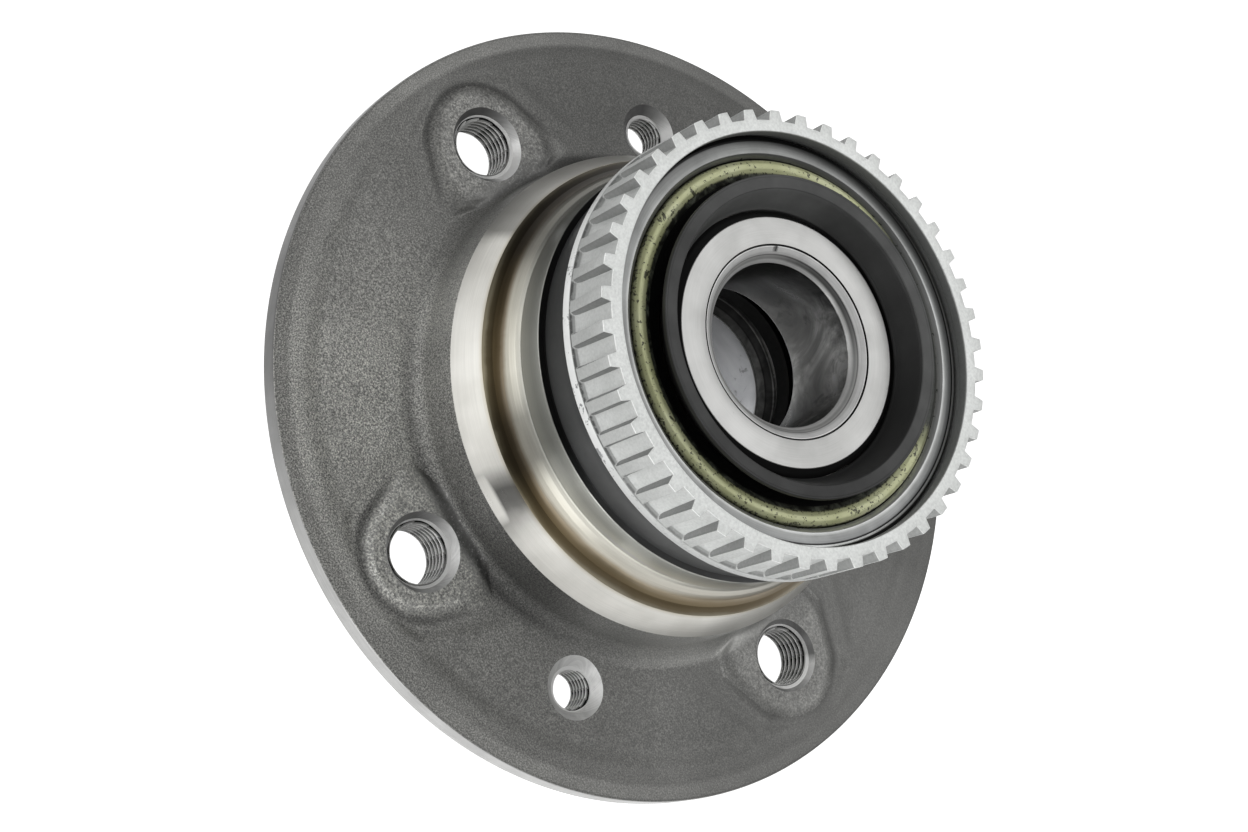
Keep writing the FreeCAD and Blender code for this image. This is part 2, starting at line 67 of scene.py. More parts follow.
# ------------------------------------------------------- shader building
class Shader:
    """One node material, built up socket by socket."""

    def __init__(self, name):
        self.material = bpy.data.materials.new(name)
        self.material.use_nodes = True
        self.tree = self.material.node_tree
        self.tree.nodes.clear()
        self.out = self.add("ShaderNodeOutputMaterial")
        self.bsdf = self.add("ShaderNodeBsdfPrincipled")
        self.link(self.bsdf.outputs["BSDF"], self.out.inputs["Surface"])
        self._place = None

    def add(self, kind, **values):
        node = self.tree.nodes.new(kind)
        for key, value in values.items():
            setattr(node, key, value)
        return node

    def link(self, a, b):
        self.tree.links.new(a, b)

    def feed(self, socket, value):
        if isinstance(value, bpy.types.NodeSocket):
            self.link(value, socket)
        elif isinstance(value, (tuple, list)) and len(value) == 3 and len(
            getattr(socket, "default_value", (0,) * 3)
        ) == 4:
            socket.default_value = (*value, 1.0)
        else:
            socket.default_value = value

    def place(self):
        if self._place is None:
            self._place = self.add("ShaderNodeTexCoord").outputs["Object"]
        return self._place

    def xyz(self):
        if not hasattr(self, "_xyz"):
            node = self.add("ShaderNodeSeparateXYZ")
            self.link(self.place(), node.inputs[0])
            self._xyz = node.outputs
        return self._xyz

    def math(self, op, a, b=None, c=None, clamp=False):
        node = self.add("ShaderNodeMath", operation=op, use_clamp=clamp)
        self.feed(node.inputs[0], a)
        if b is not None:
            self.feed(node.inputs[1], b)
        if c is not None:
            self.feed(node.inputs[2], c)
        return node.outputs[0]

    def radius(self):
        if not hasattr(self, "_radius"):
            p = self.xyz()
            self._radius = self.math(
                "SQRT",
                self.math(
                    "ADD",
                    self.math("MULTIPLY", p[0], p[0]),
                    self.math("MULTIPLY", p[1], p[1]),
                ),
            )
        return self._radius

    def height(self):
        return self.xyz()[2]

    def turn(self):
        # place around the axle, 0 to 1 for -180 to 180 degrees
        if not hasattr(self, "_turn"):
            p = self.xyz()
            angle = self.math("ARCTAN2", p[1], p[0])
            self._turn = self.math("MULTIPLY_ADD", angle, 0.5 / math.pi, 0.5)
        return self._turn

    def turn_about(self, x0, y0):
        # the same around another upright line
        p = self.xyz()
        angle = self.math("ARCTAN2", self.math("SUBTRACT", p[1], y0),
                          self.math("SUBTRACT", p[0], x0))
        return self.math("MULTIPLY_ADD", angle, 0.5 / math.pi, 0.5)

    def around(self, stops, shift=None, place=None):
        # a value that changes around the axle: stops of (degrees, value)
        top = max(v for _, v in stops)
        place = place or self.turn()
        if shift is not None:
            place = self.math("ADD", place, shift)
        level = self.ramp(
            place,
            [((a + 180) / 360, (v / top,) * 3) for a, v in sorted(stops)],
        )
        return self.math("MULTIPLY", level, top)

    def turned_vector(self, along, across):
        # fast along the section, slow around the axle
        p = self.xyz()
        r = self.radius()
        safe = self.math("MAXIMUM", r, 0.0005)
        x = self.math("MULTIPLY", self.math("DIVIDE", p[0], safe), across)
        y = self.math("MULTIPLY", self.math("DIVIDE", p[1], safe), across)
        z = self.math(
            "MULTIPLY", self.math("MULTIPLY_ADD", p[2], 1.37, r), along
        )
        node = self.add("ShaderNodeCombineXYZ")
        self.link(x, node.inputs[0])
        self.link(y, node.inputs[1])
        self.link(z, node.inputs[2])
        return node.outputs[0]

    def noise(self, scale, detail=4.0, rough=0.55, distortion=0.0, vector=None):
        node = self.add("ShaderNodeTexNoise")
        self.link(vector or self.place(), node.inputs["Vector"])
        node.inputs["Scale"].default_value = scale
        node.inputs["Detail"].default_value = detail
        node.inputs["Roughness"].default_value = rough
        node.inputs["Distortion"].default_value = distortion
        return node.outputs["Fac"]

    def cells(self, scale, feature="F1", randomness=1.0, vector=None):
        node = self.add("ShaderNodeTexVoronoi", feature=feature)
        self.link(vector or self.place(), node.inputs["Vector"])
        node.inputs["Scale"].default_value = scale
        node.inputs["Randomness"].default_value = randomness
        return node.outputs["Distance"]

    def span(self, value, low, high, to_low=0.0, to_high=1.0, smooth=False):
        node = self.add("ShaderNodeMapRange")
        node.clamp = True
        if smooth:
            node.interpolation_type = "SMOOTHSTEP"
        self.feed(node.inputs["Value"], value)
        for key, v in (
            ("From Min", low),
            ("From Max", high),
            ("To Min", to_low),
            ("To Max", to_high),
        ):
            self.feed(node.inputs[key], v)
        return node.outputs["Result"]

    def ramp(self, value, stops, mode="LINEAR"):
        node = self.add("ShaderNodeValToRGB")
        node.color_ramp.interpolation = mode
        element = node.color_ramp.elements
        while len(element) > 1:
            element.remove(element[-1])
        element[0].position = stops[0][0]
        element[0].color = (*stops[0][1], 1.0)
        for position, colour in stops[1:]:
            new = element.new(position)
            new.color = (*colour, 1.0)
        self.feed(node.inputs[0], value)
        return node.outputs[0]

    def blend(self, factor, a, b, mode="MIX"):
        node = self.add("ShaderNodeMix", data_type="RGBA", blend_type=mode)
        self.feed(node.inputs[0], factor)
        self.feed(node.inputs[6], a)
        self.feed(node.inputs[7], b)
        return node.outputs[2]

    def bump(self, height, strength, distance, below=None):
        node = self.add("ShaderNodeBump")
        node.inputs["Strength"].default_value = strength
        node.inputs["Distance"].default_value = distance
        self.link(height, node.inputs["Height"])
        if below is not None:
            self.link(below, node.inputs["Normal"])
        return node.outputs["Normal"]

    def set(self, **values):
        names = {
            "colour": "Base Color",
            "metal": "Metallic",
            "rough": "Roughness",
            "normal": "Normal",
            "specular": "Specular IOR Level",
            "coat": "Coat Weight",
            "coat_rough": "Coat Roughness",
            "sheen": "Sheen Weight",
        }
        for key, value in values.items():
            self.feed(self.bsdf.inputs[names[key]], value)
        return self.material


def srgb(r, g, b):
    def one(v):
        v /= 255.0
        return v / 12.92 if v <= 0.04045 else ((v + 0.055) / 1.055) ** 2.4

    return (one(r), one(g), one(b))


# ---------------------------------------------------------- materials
# painted light and shade on the forged skin around the axle, at the outer face
TONE = [
    (-180, 0.69), (-160, 0.78), (-150, 0.66), (-120, 0.57), (-60, 0.52),
    (-28, 0.52), (-12, 0.55), (0, 0.64), (10, 0.75), (19, 0.89),
    (27, 0.96), (35, 1.07), (40, 1.17), (45, 1.30), (50, 1.45),
    (55, 1.56), (60, 1.63), (66, 1.68), (72, 1.62), (80, 1.44),
    (90, 1.22), (100, 1.06), (108, 0.96), (114, 0.87), (120, 0.79),
    (130, 0.75), (150, 0.74), (158, 0.65), (170, 0.65), (180, 0.69),
]
# strength of the blasted grain and its painted sparkle, strongest on the lit side
GRAIN = [
    (-180, 0.20), (-160, 0.13), (-100, 0.13), (-28, 0.22), (0, 0.34),
    (20, 0.58), (40, 0.82), (60, 1.00), (80, 0.95), (100, 0.72),
    (120, 0.56), (145, 0.34), (165, 0.22), (180, 0.20),
]
# painted light: how much lighter the skin is made inwards, on the sides where the barrel shades it
INWARD = [
    (-180, 0.0), (20, 0.0), (32, 1.0), (112, 1.0), (130, 0.35),
    (150, 0.3), (165, 0.1), (180, 0.0),
]
# painted light and shade on the fillet under the shoulder, around the axle
FILLET = [
    (-180, 1.4), (-164, 0.8), (-158, 0.77), (-100, 0.7), (-40, 0.7),
    (-20, 0.60), (-14, 0.85), (5, 1.1), (16, 1.2), (22, 1.18),
    (30, 1.08), (40, 1.05), (50, 0.62), (60, 0.52), (66, 0.43),
    (90, 0.36), (108, 0.32), (114, 0.43), (121, 0.75), (140, 1.7),
    (150, 2.2), (158, 2.8), (170, 2.2), (180, 1.4),
]
# painted light and shade on the outermost band of the face, around the axle
BAND = [
    (-180, 1.2), (-164, 1.05), (-90, 1.2), (-28, 1.8), (-14, 2.0),
    (2, 1.7), (16, 1.3), (24, 1.05), (40, 0.83), (50, 0.70), (66, 0.66),
    (90, 0.85), (108, 1.05), (120, 1.45), (140, 1.37), (158, 1.3),
    (180, 1.2),
]


def pad_distance(s):
    """Distance (m) from the nearest bolt hole axis and from its pad edge."""
    x, y, z = s.xyz()
    ax, ay = s.math("ABSOLUTE", x), s.math("ABSOLUTE", y)
    u = s.math("SUBTRACT", 0.054, s.math("MAXIMUM", ax, ay))
    v = s.math("MINIMUM", ax, ay)
    hole = s.math("SQRT", s.math("MULTIPLY_ADD", u, u,
                                 s.math("MULTIPLY", v, v)))
    c, q = math.cos(math.radians(64.0)), math.sin(math.radians(64.0))
    py = s.math("MULTIPLY_ADD", u, c, s.math("MULTIPLY", v, q))
    px = s.math("ABSOLUTE", s.math("MULTIPLY_ADD", u, -q,
                                   s.math("MULTIPLY", v, c)))
    b = 10.0 / 14.6
    a = math.sqrt(1.0 - b * b)
    k = s.math("MULTIPLY_ADD", py, a, s.math("MULTIPLY", px, -b))
    side = s.math("MULTIPLY_ADD", px, a, s.math("MULTIPLY", py, b))
    on_side = s.math("GREATER_THAN", k, 0.0)
    near = s.math("MULTIPLY_ADD", s.math("SUBTRACT", side, hole), on_side, hole)
    return hole, s.math("SUBTRACT", near, 0.0105)


def pad_shade(s):
    """Painted shade as a soft dark line around the pads; painted light on the swell outside it,
    just inside the pad edge and on the pad wall.
    """
    hole, near = pad_distance(s)
    r = s.radius()
    dark = s.around(
        [(-180, 0.10), (-168, 0.0), (-20, 0.10), (-12, 0.34), (4, 0.30),
         (14, 0.16), (30, 0.0), (70, 0.05), (78, 0.50), (88, 0.55),
         (96, 0.30), (104, 0.12), (130, 0.0), (160, 0.0), (172, 0.16),
         (180, 0.10)]
    )
    line = s.span(s.math("ABSOLUTE", s.math("SUBTRACT", near, 0.0010)),
                  0.0002, 0.0013, 1.0, 0.0, smooth=True)
    outer = s.span(r, 0.0500, 0.0560, smooth=True)
    swell = s.span(s.math("ABSOLUTE", s.math("SUBTRACT", near, 0.0034)),
                   0.0, 0.0016, 0.10, 0.0, smooth=True)
    inside = s.span(s.math("ABSOLUTE", s.math("ADD", near, 0.0006)),
                    0.0, 0.0012, 1.0, 0.0, smooth=True)
    glow = s.math("MULTIPLY", inside, s.around(
        [(-180, 0.30), (-150, 0.1), (-20, 0.0), (0, 0.18), (14, 0.30),
         (40, 0.1), (74, 0.15), (84, 0.45), (94, 0.45), (104, 0.1),
         (160, 0.0), (180, 0.30)]))
    value = s.math("SUBTRACT", s.math("ADD", swell, glow),
                   s.math("MULTIPLY", line, dark))
    value = s.math("MULTIPLY", value, outer)
    wall = s.span(s.math("ABSOLUTE", s.math("SUBTRACT", near, 0.0006)),
                  0.0003, 0.0019, 1.0, 0.0, smooth=True)
    lift = s.math("MULTIPLY", wall, s.around(
        [(-180, 0.12), (-172, 0.0), (-21, 0.0), (-17, 0.42), (-10, 0.42),
         (-6, 0.1), (-2, 0.0), (160, 0.0), (166, 0.30), (178, 0.24),
         (180, 0.12)]))
    return s.math("ADD", s.math("ADD", value, lift), 1.0)


def forged_tone(s, patch):
    """Painted light and shade, and grain strength, of the forged skin."""
    drift = s.math("MULTIPLY_ADD", patch, 0.05, -0.025)
    r = s.radius()
    tone = s.around(TONE, drift)
    grow = s.math("MULTIPLY", s.around(INWARD),
                  s.span(r, 0.0490, 0.0605, 0.42, 0.0))
    tone = s.math("MULTIPLY", tone, s.math("ADD", grow, 1.0))
    tone = s.math("MULTIPLY", tone, pad_shade(s))
    # painted light and shade on the fillet under the shoulder
    deep = s.span(r, 0.0465, 0.0487, 1.0, 0.0, smooth=True)
    fillet = s.math("MULTIPLY_ADD", s.math("SUBTRACT", s.around(FILLET), 1.0),
                    deep, 1.0)
    tone = s.math("MULTIPLY", tone, fillet)
    grain = s.math("ADD", s.around(GRAIN, drift),
                   s.math("MULTIPLY_ADD", patch, 0.3, -0.15), clamp=True)
    return tone, grain


def forged_steel():
    s = Shader("forged_steel")
    patch = s.noise(26.0, 5.0, 0.6)
    cloud = s.noise(70.0, 5.0, 0.6, 0.4)
    grain = s.noise(3600.0, 2.0, 0.65)
    speck = s.noise(2300.0, 2.0, 0.6)
    pits = s.noise(620.0, 3.0, 0.6)
    tone, coarse = forged_tone(s, patch)
    r = s.radius()
    shade = s.math(
        "MULTIPLY", tone, s.span(cloud, 0.3, 0.7, 0.91, 1.09)
    )
    # painted light and shade on the outermost band of the face
    edge = s.span(r, 0.0681, 0.0693, 0.0, 1.0, smooth=True)
    band = s.math("MULTIPLY_ADD", s.math("SUBTRACT", s.around(BAND), 1.0),
                  edge, 1.0)
    shade = s.math("MULTIPLY", shade, band)
    base = s.blend(1.0, (0.265, 0.265, 0.256), shade, "MULTIPLY")
    light = s.ramp(
        grain,
        [(0.32, (0.34, 0.34, 0.34)), (0.5, (0.95, 0.95, 0.94)),
         (0.68, (2.0, 1.98, 1.92))],
    )
    amount = s.span(coarse, 0.0, 1.0, 0.06, 0.95)
    colour = s.blend(amount, base, s.blend(1.0, base, light, "MULTIPLY"))
    # painted glints on the grain, strongest on the lit side
    spark = s.span(speck, 0.665, 0.72, 0.0, 0.5)
    spark = s.math("MULTIPLY", spark, s.math("MULTIPLY", coarse, coarse))
    colour = s.blend(spark, colour, (0.62, 0.61, 0.58))
    rough = s.span(grain, 0.3, 0.7, 0.62, 0.50)
    height = s.math(
        "ADD",
        s.math("MULTIPLY", grain, s.span(coarse, 0.0, 1.0, 0.06, 0.9)),
        s.math(
            "MULTIPLY", pits, s.span(coarse, 0.0, 1.0, 0.20, 0.8)
        ),
    )
    big = s.bump(cloud, 0.30, 0.0006)
    return s.set(
        colour=colour,
        metal=0.75,
        rough=rough,
        normal=s.bump(height, 0.7, 0.00010, big),
    )


def pad_steel():
    # blasted pad tops: lighter, with painted light and shade around the axle and painted sparkle on
    # the lit, grained side
    s = Shader("pad_steel")
    patch = s.noise(26.0, 5.0, 0.6)
    cloud = s.noise(190.0, 5.0, 0.65, 0.6)
    grain = s.noise(2700.0, 2.0, 0.65)
    speck = s.noise(1600.0, 2.0, 0.6)
    scratch = s.noise(420.0, 4.0, 0.7, 1.2)
    tone, coarse = forged_tone(s, patch)
    lift = s.span(s.radius(), 0.0462, 0.0500, 0.15, 1.0, smooth=True)
    gain = s.math("MULTIPLY", s.span(cloud, 0.3, 0.7, 0.05, 0.48), lift)
    shade = s.math("MULTIPLY", tone, s.math("ADD", gain, 1.0))
    base = s.blend(1.0, (0.265, 0.265, 0.256), shade, "MULTIPLY")
    light = s.ramp(
        grain,
        [(0.32, (0.36, 0.36, 0.36)), (0.5, (0.95, 0.95, 0.94)),
         (0.68, (2.0, 1.98, 1.9))],
    )
    amount = s.math("MULTIPLY", s.span(coarse, 0.15, 0.7, 0.30, 0.85), lift)
    colour = s.blend(amount, base, s.blend(1.0, base, light, "MULTIPLY"))
    spark = s.math("MULTIPLY", s.span(speck, 0.60, 0.70, 0.0, 0.6),
                   s.span(coarse, 0.15, 0.6))
    colour = s.blend(spark, colour, (0.62, 0.61, 0.59))
    line = s.span(s.math("ABSOLUTE", s.math("SUBTRACT", scratch, 0.5)),
                  0.004, 0.014, 0.5, 0.0)
    colour = s.blend(line, colour, (0.42, 0.42, 0.41))
    height = s.math("ADD", s.math("MULTIPLY", grain, amount),
                    s.math("MULTIPLY", speck, 0.6))
    return s.set(
        colour=colour,
        metal=0.75,
        rough=s.span(grain, 0.3, 0.7, 0.58, 0.44),
        normal=s.bump(height, 0.6, 0.00010),
    )


def ground_shoulder():
    # ivory-bright ground cone with a painted dark reflection and painted shade around the axle
    s = Shader("ground_shoulder")
    lines = s.noise(1.0, 3.0, 0.6, vector=s.turned_vector(9000.0, 3.0))
    cloud = s.noise(70.0, 4.0, 0.55)
    x, y, z = s.xyz()
    base = s.ramp(
        cloud,
        [(0.3, (0.58, 0.57, 0.53)), (0.55, (0.68, 0.67, 0.63)),
         (0.75, (0.74, 0.73, 0.69))],
    )
    line = s.ramp(lines, [(0.3, (0.92, 0.92, 0.92)), (0.7, (1.04, 1.04, 1.04))])
    colour = s.blend(1.0, base, line, "MULTIPLY")
    # painted dark reflection and painted shade on one side of the cone
    drift = s.math("MULTIPLY_ADD", cloud, 0.02, -0.01)
    shade = s.around(
        [(-180, 0.9), (-60, 0.7), (-20, 0.72), (-8, 0.80), (5, 0.66),
         (14, 0.44), (21.5, 0.40), (24.5, 0.94), (60, 0.96), (76, 0.98),
         (80, 0.86), (84, 0.32), (87, 0.10), (91, 0.13), (94, 0.34),
         (98, 0.62), (102, 0.78), (112, 0.92), (130, 1.02), (150, 1.15),
         (170, 1.0), (180, 0.9)],
        drift,
    )
    # painted lighter streak low on the cone, inside the dark reflection
    streak = s.math(
        "MULTIPLY",
        s.around([(-180, 0), (78, 0), (82, 1), (92, 1), (96, 0), (180, 0)]),
        s.span(z, 0.0206, 0.0218, 1.0, 0.0, smooth=True),
    )
    shade = s.math("MAXIMUM", shade, s.math("MULTIPLY", streak, 0.72))
    colour = s.blend(1.0, colour, shade, "MULTIPLY")
    # yellowed run-out at the top of the cone
    warm = s.span(z, 0.0242, 0.0251, 0.0, 0.55, smooth=True)
    colour = s.blend(warm, colour,
                     s.blend(1.0, (0.42, 0.37, 0.27), shade, "MULTIPLY"))
    rough = s.span(cloud, 0.3, 0.7, 0.36, 0.26)
    return s.set(
        colour=colour,
        metal=0.85,
        rough=rough,
        normal=s.bump(lines, 0.2, 0.00003),
    )


def tinted_neck():
    # heat-tinted neck that runs out into the ground barrel: temper tint with a painted dark
    # reflection in its brown core, and a painted shadow in the groove at its top
    s = Shader("tinted_neck")
    lines = s.noise(1.0, 3.0, 0.6, vector=s.turned_vector(7000.0, 2.5))
    cloud = s.noise(60.0, 4.0, 0.55, 0.5)
    x, y, z = s.xyz()
    wobble = s.math("MULTIPLY_ADD", cloud, 0.0016, -0.0008)
    level = s.span(s.math("ADD", z, wobble), 0.0250, 0.0374, 0.0, 1.0)
    tint = s.ramp(
        level,
        [
            (0.00, (0.30, 0.265, 0.185)),
            (0.03, (0.105, 0.085, 0.050)),
            (0.07, (0.056, 0.042, 0.021)),
            (0.12, (0.050, 0.036, 0.017)),
            (0.165, (0.072, 0.054, 0.030)),
            (0.215, (0.21, 0.175, 0.125)),
            (0.28, (0.47, 0.45, 0.385)),
            (0.45, (0.55, 0.54, 0.48)),
            (0.52, (0.38, 0.38, 0.345)),
            (0.74, (0.28, 0.283, 0.26)),
            (0.955, (0.25, 0.253, 0.235)),
            (0.99, (0.03, 0.03, 0.028)),
        ],
    )
    line = s.ramp(lines, [(0.3, (0.92, 0.92, 0.92)), (0.7, (1.04, 1.04, 1.04))])
    # painted light: the brown is paler on one side
    pale = s.ramp(
        level,
        [
            (0.00, (0.42, 0.38, 0.29)),
            (0.04, (0.25, 0.200, 0.125)),
            (0.09, (0.195, 0.150, 0.084)),
            (0.15, (0.22, 0.175, 0.108)),
            (0.22, (0.34, 0.29, 0.21)),
            (0.30, (0.46, 0.44, 0.385)),
            (0.45, (0.50, 0.49, 0.44)),
            (0.55, (0.38, 0.38, 0.345)),
            (0.74, (0.28, 0.283, 0.26)),
            (0.955, (0.25, 0.253, 0.235)),
            (0.99, (0.10, 0.10, 0.10)),
        ],
    )
    tint = s.blend(s.around(
        [(-180, 0.9), (-120, 0.3), (-60, 0), (92, 0), (102, 0.25), (116, 0.55),
         (130, 0.9), (145, 1.0), (165, 1.0), (180, 0.9)]), tint, pale)
    colour = s.blend(1.0, tint, line, "MULTIPLY")
    drift = s.math("MULTIPLY_ADD", cloud, 0.02, -0.01)
    # painted light and shade around the axle on the brown run-out below and the ground barrel above
    low = s.around(
        [(-180, 0.7), (-60, 0.4), (-30, 0.35), (0, 0.28), (20, 0.24),
         (26, 0.30), (36, 0.75), (46, 1.0), (60, 1.0), (67, 0.75),
         (73, 0.42), (84, 0.36), (88, 0.62), (92, 0.95), (100, 1.1),
         (130, 1.15), (150, 0.95), (165, 0.8), (180, 0.7)],
        drift,
    )
    high = s.around(
        [(-180, 0.8), (-60, 0.35), (0, 0.35), (22, 0.5), (40, 1.5),
         (54, 1.75), (68, 1.4), (80, 1.0), (88, 1.6), (94, 2.6),
         (110, 3.0), (130, 2.8), (145, 1.8), (160, 1.0), (180, 0.8)],
        drift,
    )
    part = s.span(z, 0.0306, 0.0318, smooth=True)
    shade = s.math(
        "ADD",
        s.math("MULTIPLY", low, s.math("SUBTRACT", 1.0, part)),
        s.math("MULTIPLY", high, part),
    )
    colour = s.blend(1.0, colour, shade, "MULTIPLY")
    rough = s.span(level, 0.0, 0.5, 0.42, 0.32)
    return s.set(
        colour=colour,
        metal=0.9,
        rough=rough,
        normal=s.bump(lines, 0.15, 0.00002),
    )


def dark_band():
    # dark barrel band: painted shadow in the groove at its foot, fading out on one side, and
    # painted shade towards the tone ring
    s = Shader("dark_band")
    lines = s.noise(1.0, 3.0, 0.6, vector=s.turned_vector(6000.0, 2.0))
    cloud = s.noise(80.0, 4.0, 0.6)
    z = s.height()
    level = s.span(z, 0.0374, 0.0470)
    base = s.ramp(
        level,
        [(0.0, (0.008, 0.008, 0.008)), (0.035, (0.008, 0.008, 0.008)),
         (0.07, (0.085, 0.087, 0.087)), (0.5, (0.105, 0.107, 0.107)),
         (0.9, (0.075, 0.076, 0.077)), (1.0, (0.03, 0.03, 0.03))],
    )
    plain = s.ramp(
        level,
        [(0.0, (0.060, 0.061, 0.061)), (0.5, (0.100, 0.102, 0.102)),
         (1.0, (0.06, 0.06, 0.06))],
    )
    base = s.blend(s.around(
        [(-180, 1), (-120, 0.2), (-60, 0), (80, 0), (96, 0.6), (110, 1), (180, 1)]),
        base, plain)
    var = s.ramp(cloud, [(0.3, (0.8, 0.8, 0.8)), (0.7, (1.25, 1.25, 1.25))])
    colour = s.blend(1.0, base, var, "MULTIPLY")
    # painted light and shade around the axle
    shade = s.around(
        [(-180, 1.6), (-60, 0.6), (0, 0.5), (54, 0.60), (80, 0.85),
         (100, 1.5), (126, 2.0), (150, 2.1), (180, 1.6)]
    )
    colour = s.blend(1.0, colour, shade, "MULTIPLY")
    return s.set(
        colour=colour,
        metal=0.8,
        rough=s.span(cloud, 0.3, 0.7, 0.46, 0.34),
        normal=s.bump(lines, 0.25, 0.00003),
    )


def turned_steel(name, colour, rough=0.3, lines_scale=5000.0, strength=0.3,
                 stain=0.0, depth=0.00003, metal=0.95):
    s = Shader(name)
    lines = s.noise(1.0, 3.0, 0.65, vector=s.turned_vector(lines_scale, 2.5))
    cloud = s.noise(110.0, 5.0, 0.6, 0.3)
    base = s.ramp(
        cloud,
        [(0.28, tuple(v * (0.80 - stain) for v in colour)),
         (0.52, colour),
         (0.78, tuple(min(1.0, v * 1.10) for v in colour))],
    )
    line = s.ramp(lines, [(0.3, (0.86, 0.86, 0.86)), (0.7, (1.10, 1.10, 1.10))])
    shade = s.blend(1.0, base, line, "MULTIPLY")
    return s.set(
        colour=shade,
        metal=metal,
        rough=s.span(cloud, 0.3, 0.7, rough + 0.08, rough - 0.04),
        normal=s.bump(lines, strength, depth),
    )


def tone_steel(name="tone_ring_steel", wall=None):
    s = Shader(name)
    grain = s.noise(2200.0, 3.0, 0.6)
    cloud = s.noise(140.0, 4.0, 0.6)
    nick = s.noise(520.0, 3.0, 0.7)
    scratch = s.noise(900.0, 3.0, 0.7)
    base = s.ramp(
        cloud,
        [(0.3, (0.84, 0.86, 0.84)), (0.5, (0.90, 0.92, 0.90)),
         (0.72, (0.95, 0.97, 0.95))],
    )
    fine = s.ramp(grain, [(0.3, (0.90, 0.90, 0.90)), (0.7, (1.06, 1.06, 1.06))])
    colour = s.blend(1.0, base, fine, "MULTIPLY")
    z = s.height()
    r = s.radius()
    left = s.around(
        [(-180, 0.1), (-60, 0.1), (-10, 0.15), (18, 0.35), (34, 0.8),
         (48, 1.0), (84, 1.0), (98, 0.55), (112, 0.30), (180, 0.1)]
    )
    # painted light: the front face is painted brighter than the cut faces, whose lightness changes
    # around the axle
    side = s.around(
        [(-180, 0.66), (-120, 0.5), (-28, 0.44), (0, 0.44), (30, 0.47),
         (60, 0.50), (90, 0.60), (105, 0.68), (125, 0.74), (150, 0.72),
         (165, 0.70), (180, 0.66)] if wall is None else wall
    )
    side = s.math("MULTIPLY", side, s.span(r, 0.0383, 0.0386, 1.04, 0.90))
    front = s.span(z, 0.0587, 0.0589)
    deep = s.math("ADD", s.math("MULTIPLY", side,
                                s.math("SUBTRACT", 1.0, front)), front)
    # painted shade on the inner wall
    deep = s.math("MULTIPLY", deep, s.span(r, 0.03505, 0.03515, 0.62, 1.0))
    colour = s.blend(1.0, colour, deep, "MULTIPLY")
    # painted highlight on the rim behind the teeth, strongest on the lit side, with small dark
    # nicks
    rim = s.math(
        "MULTIPLY",
        s.span(z, 0.0490, 0.0492, 1.0, 0.0),
        s.span(r, 0.0370, 0.0374),
    )
    rim = s.math("MULTIPLY", rim, left)
    colour = s.blend(rim, colour, (0.80, 0.81, 0.80))
    dark = s.math("MULTIPLY", s.span(nick, 0.60, 0.63), rim)
    colour = s.blend(s.math("MULTIPLY", dark, 0.8), colour,
                     (0.16, 0.165, 0.17))
    # dark line where the slots meet the rim
    seam = s.math(
        "MULTIPLY",
        s.span(s.math("ABSOLUTE", s.math("SUBTRACT", z, 0.04935)),
               0.00010, 0.00024, 1.0, 0.0),
        s.span(r, 0.0381, 0.0384),
    )
    seam = s.math("MULTIPLY", seam, s.span(scratch, 0.38, 0.50, 0.25, 1.0))
    seam = s.math("MULTIPLY", seam, s.span(left, 0.0, 1.0, 0.12, 0.85))
    colour = s.blend(seam, colour, (0.07, 0.072, 0.07))
    return s.set(
        colour=colour,
        metal=0.35,
        rough=s.span(grain, 0.3, 0.7, 0.55, 0.44),
        normal=s.bump(
            s.math("ADD", grain, s.math("MULTIPLY", nick, 0.5)), 0.25, 0.00005
        ),
        specular=0.5,
    )


def passivated():
    s = Shader("passivated_steel")
    cloud = s.noise(120.0, 4.0, 0.6)
    grain = s.noise(1300.0, 3.0, 0.6)
    blot = s.noise(430.0, 4.0, 0.65, 0.6)
    speck = s.noise(1500.0, 3.0, 0.65)
    fine = s.noise(2600.0, 2.0, 0.6)
    r = s.radius()
    base = s.ramp(
        cloud,
        [(0.28, srgb(186, 190, 140)), (0.5, srgb(206, 209, 164)),
         (0.74, srgb(220, 223, 186))],
    )
    # painted dark reflection: the plating is darkened to a grey green on one side of the seal
    dark_reflection = s.around(
        [(-180, 0), (-160, 0), (-146, 1), (-84, 1), (-66, 0), (180, 0)],
        s.math("MULTIPLY_ADD", blot, 0.02, -0.01),
    )
    base = s.blend(dark_reflection, base, (0.035, 0.039, 0.033))
    # olive, darker towards both edges of the bead
    edge = s.math(
        "MAXIMUM", s.span(r, 0.03080, 0.03114), s.span(r, 0.02892, 0.02862)
    )
    base = s.blend(s.math("MULTIPLY", edge, 0.78), base, (0.075, 0.078, 0.040))
    near = s.math("MULTIPLY_ADD", edge, 0.10, speck)
    dark = s.math(
        "MAXIMUM",
        s.span(near, 0.605, 0.64, 0.0, 0.92),
        s.span(blot, 0.615, 0.65, 0.0, 0.85),
    )
    # painted shadow: a ragged black line along the outer edge, at the gap to the barrel
    ragged = s.math("MULTIPLY_ADD", speck, 0.0006, -0.0003)
    line = s.span(s.math("ADD", r, ragged), 0.03112, 0.03124)
    dark = s.math("MAXIMUM", dark, line)
    colour = s.blend(dark, base, (0.020, 0.020, 0.014))
    # oil over the inner slope, with a few painted grey green glints
    oily = s.span(s.math("ADD", r, ragged), 0.02870, 0.02845)
    oil = s.ramp(
        blot,
        [(0.42, (0.014, 0.014, 0.011)), (0.52, (0.070, 0.075, 0.058)),
         (0.64, (0.17, 0.18, 0.145))],
    )
    colour = s.blend(oily, colour, oil)
    return s.set(
        colour=colour,
        metal=0.25,
        rough=s.span(grain, 0.3, 0.7, 0.5, 0.36),
        normal=s.bump(s.math("ADD", grain, s.math("ADD", cloud, fine)), 0.25,
                      0.00005),
    )


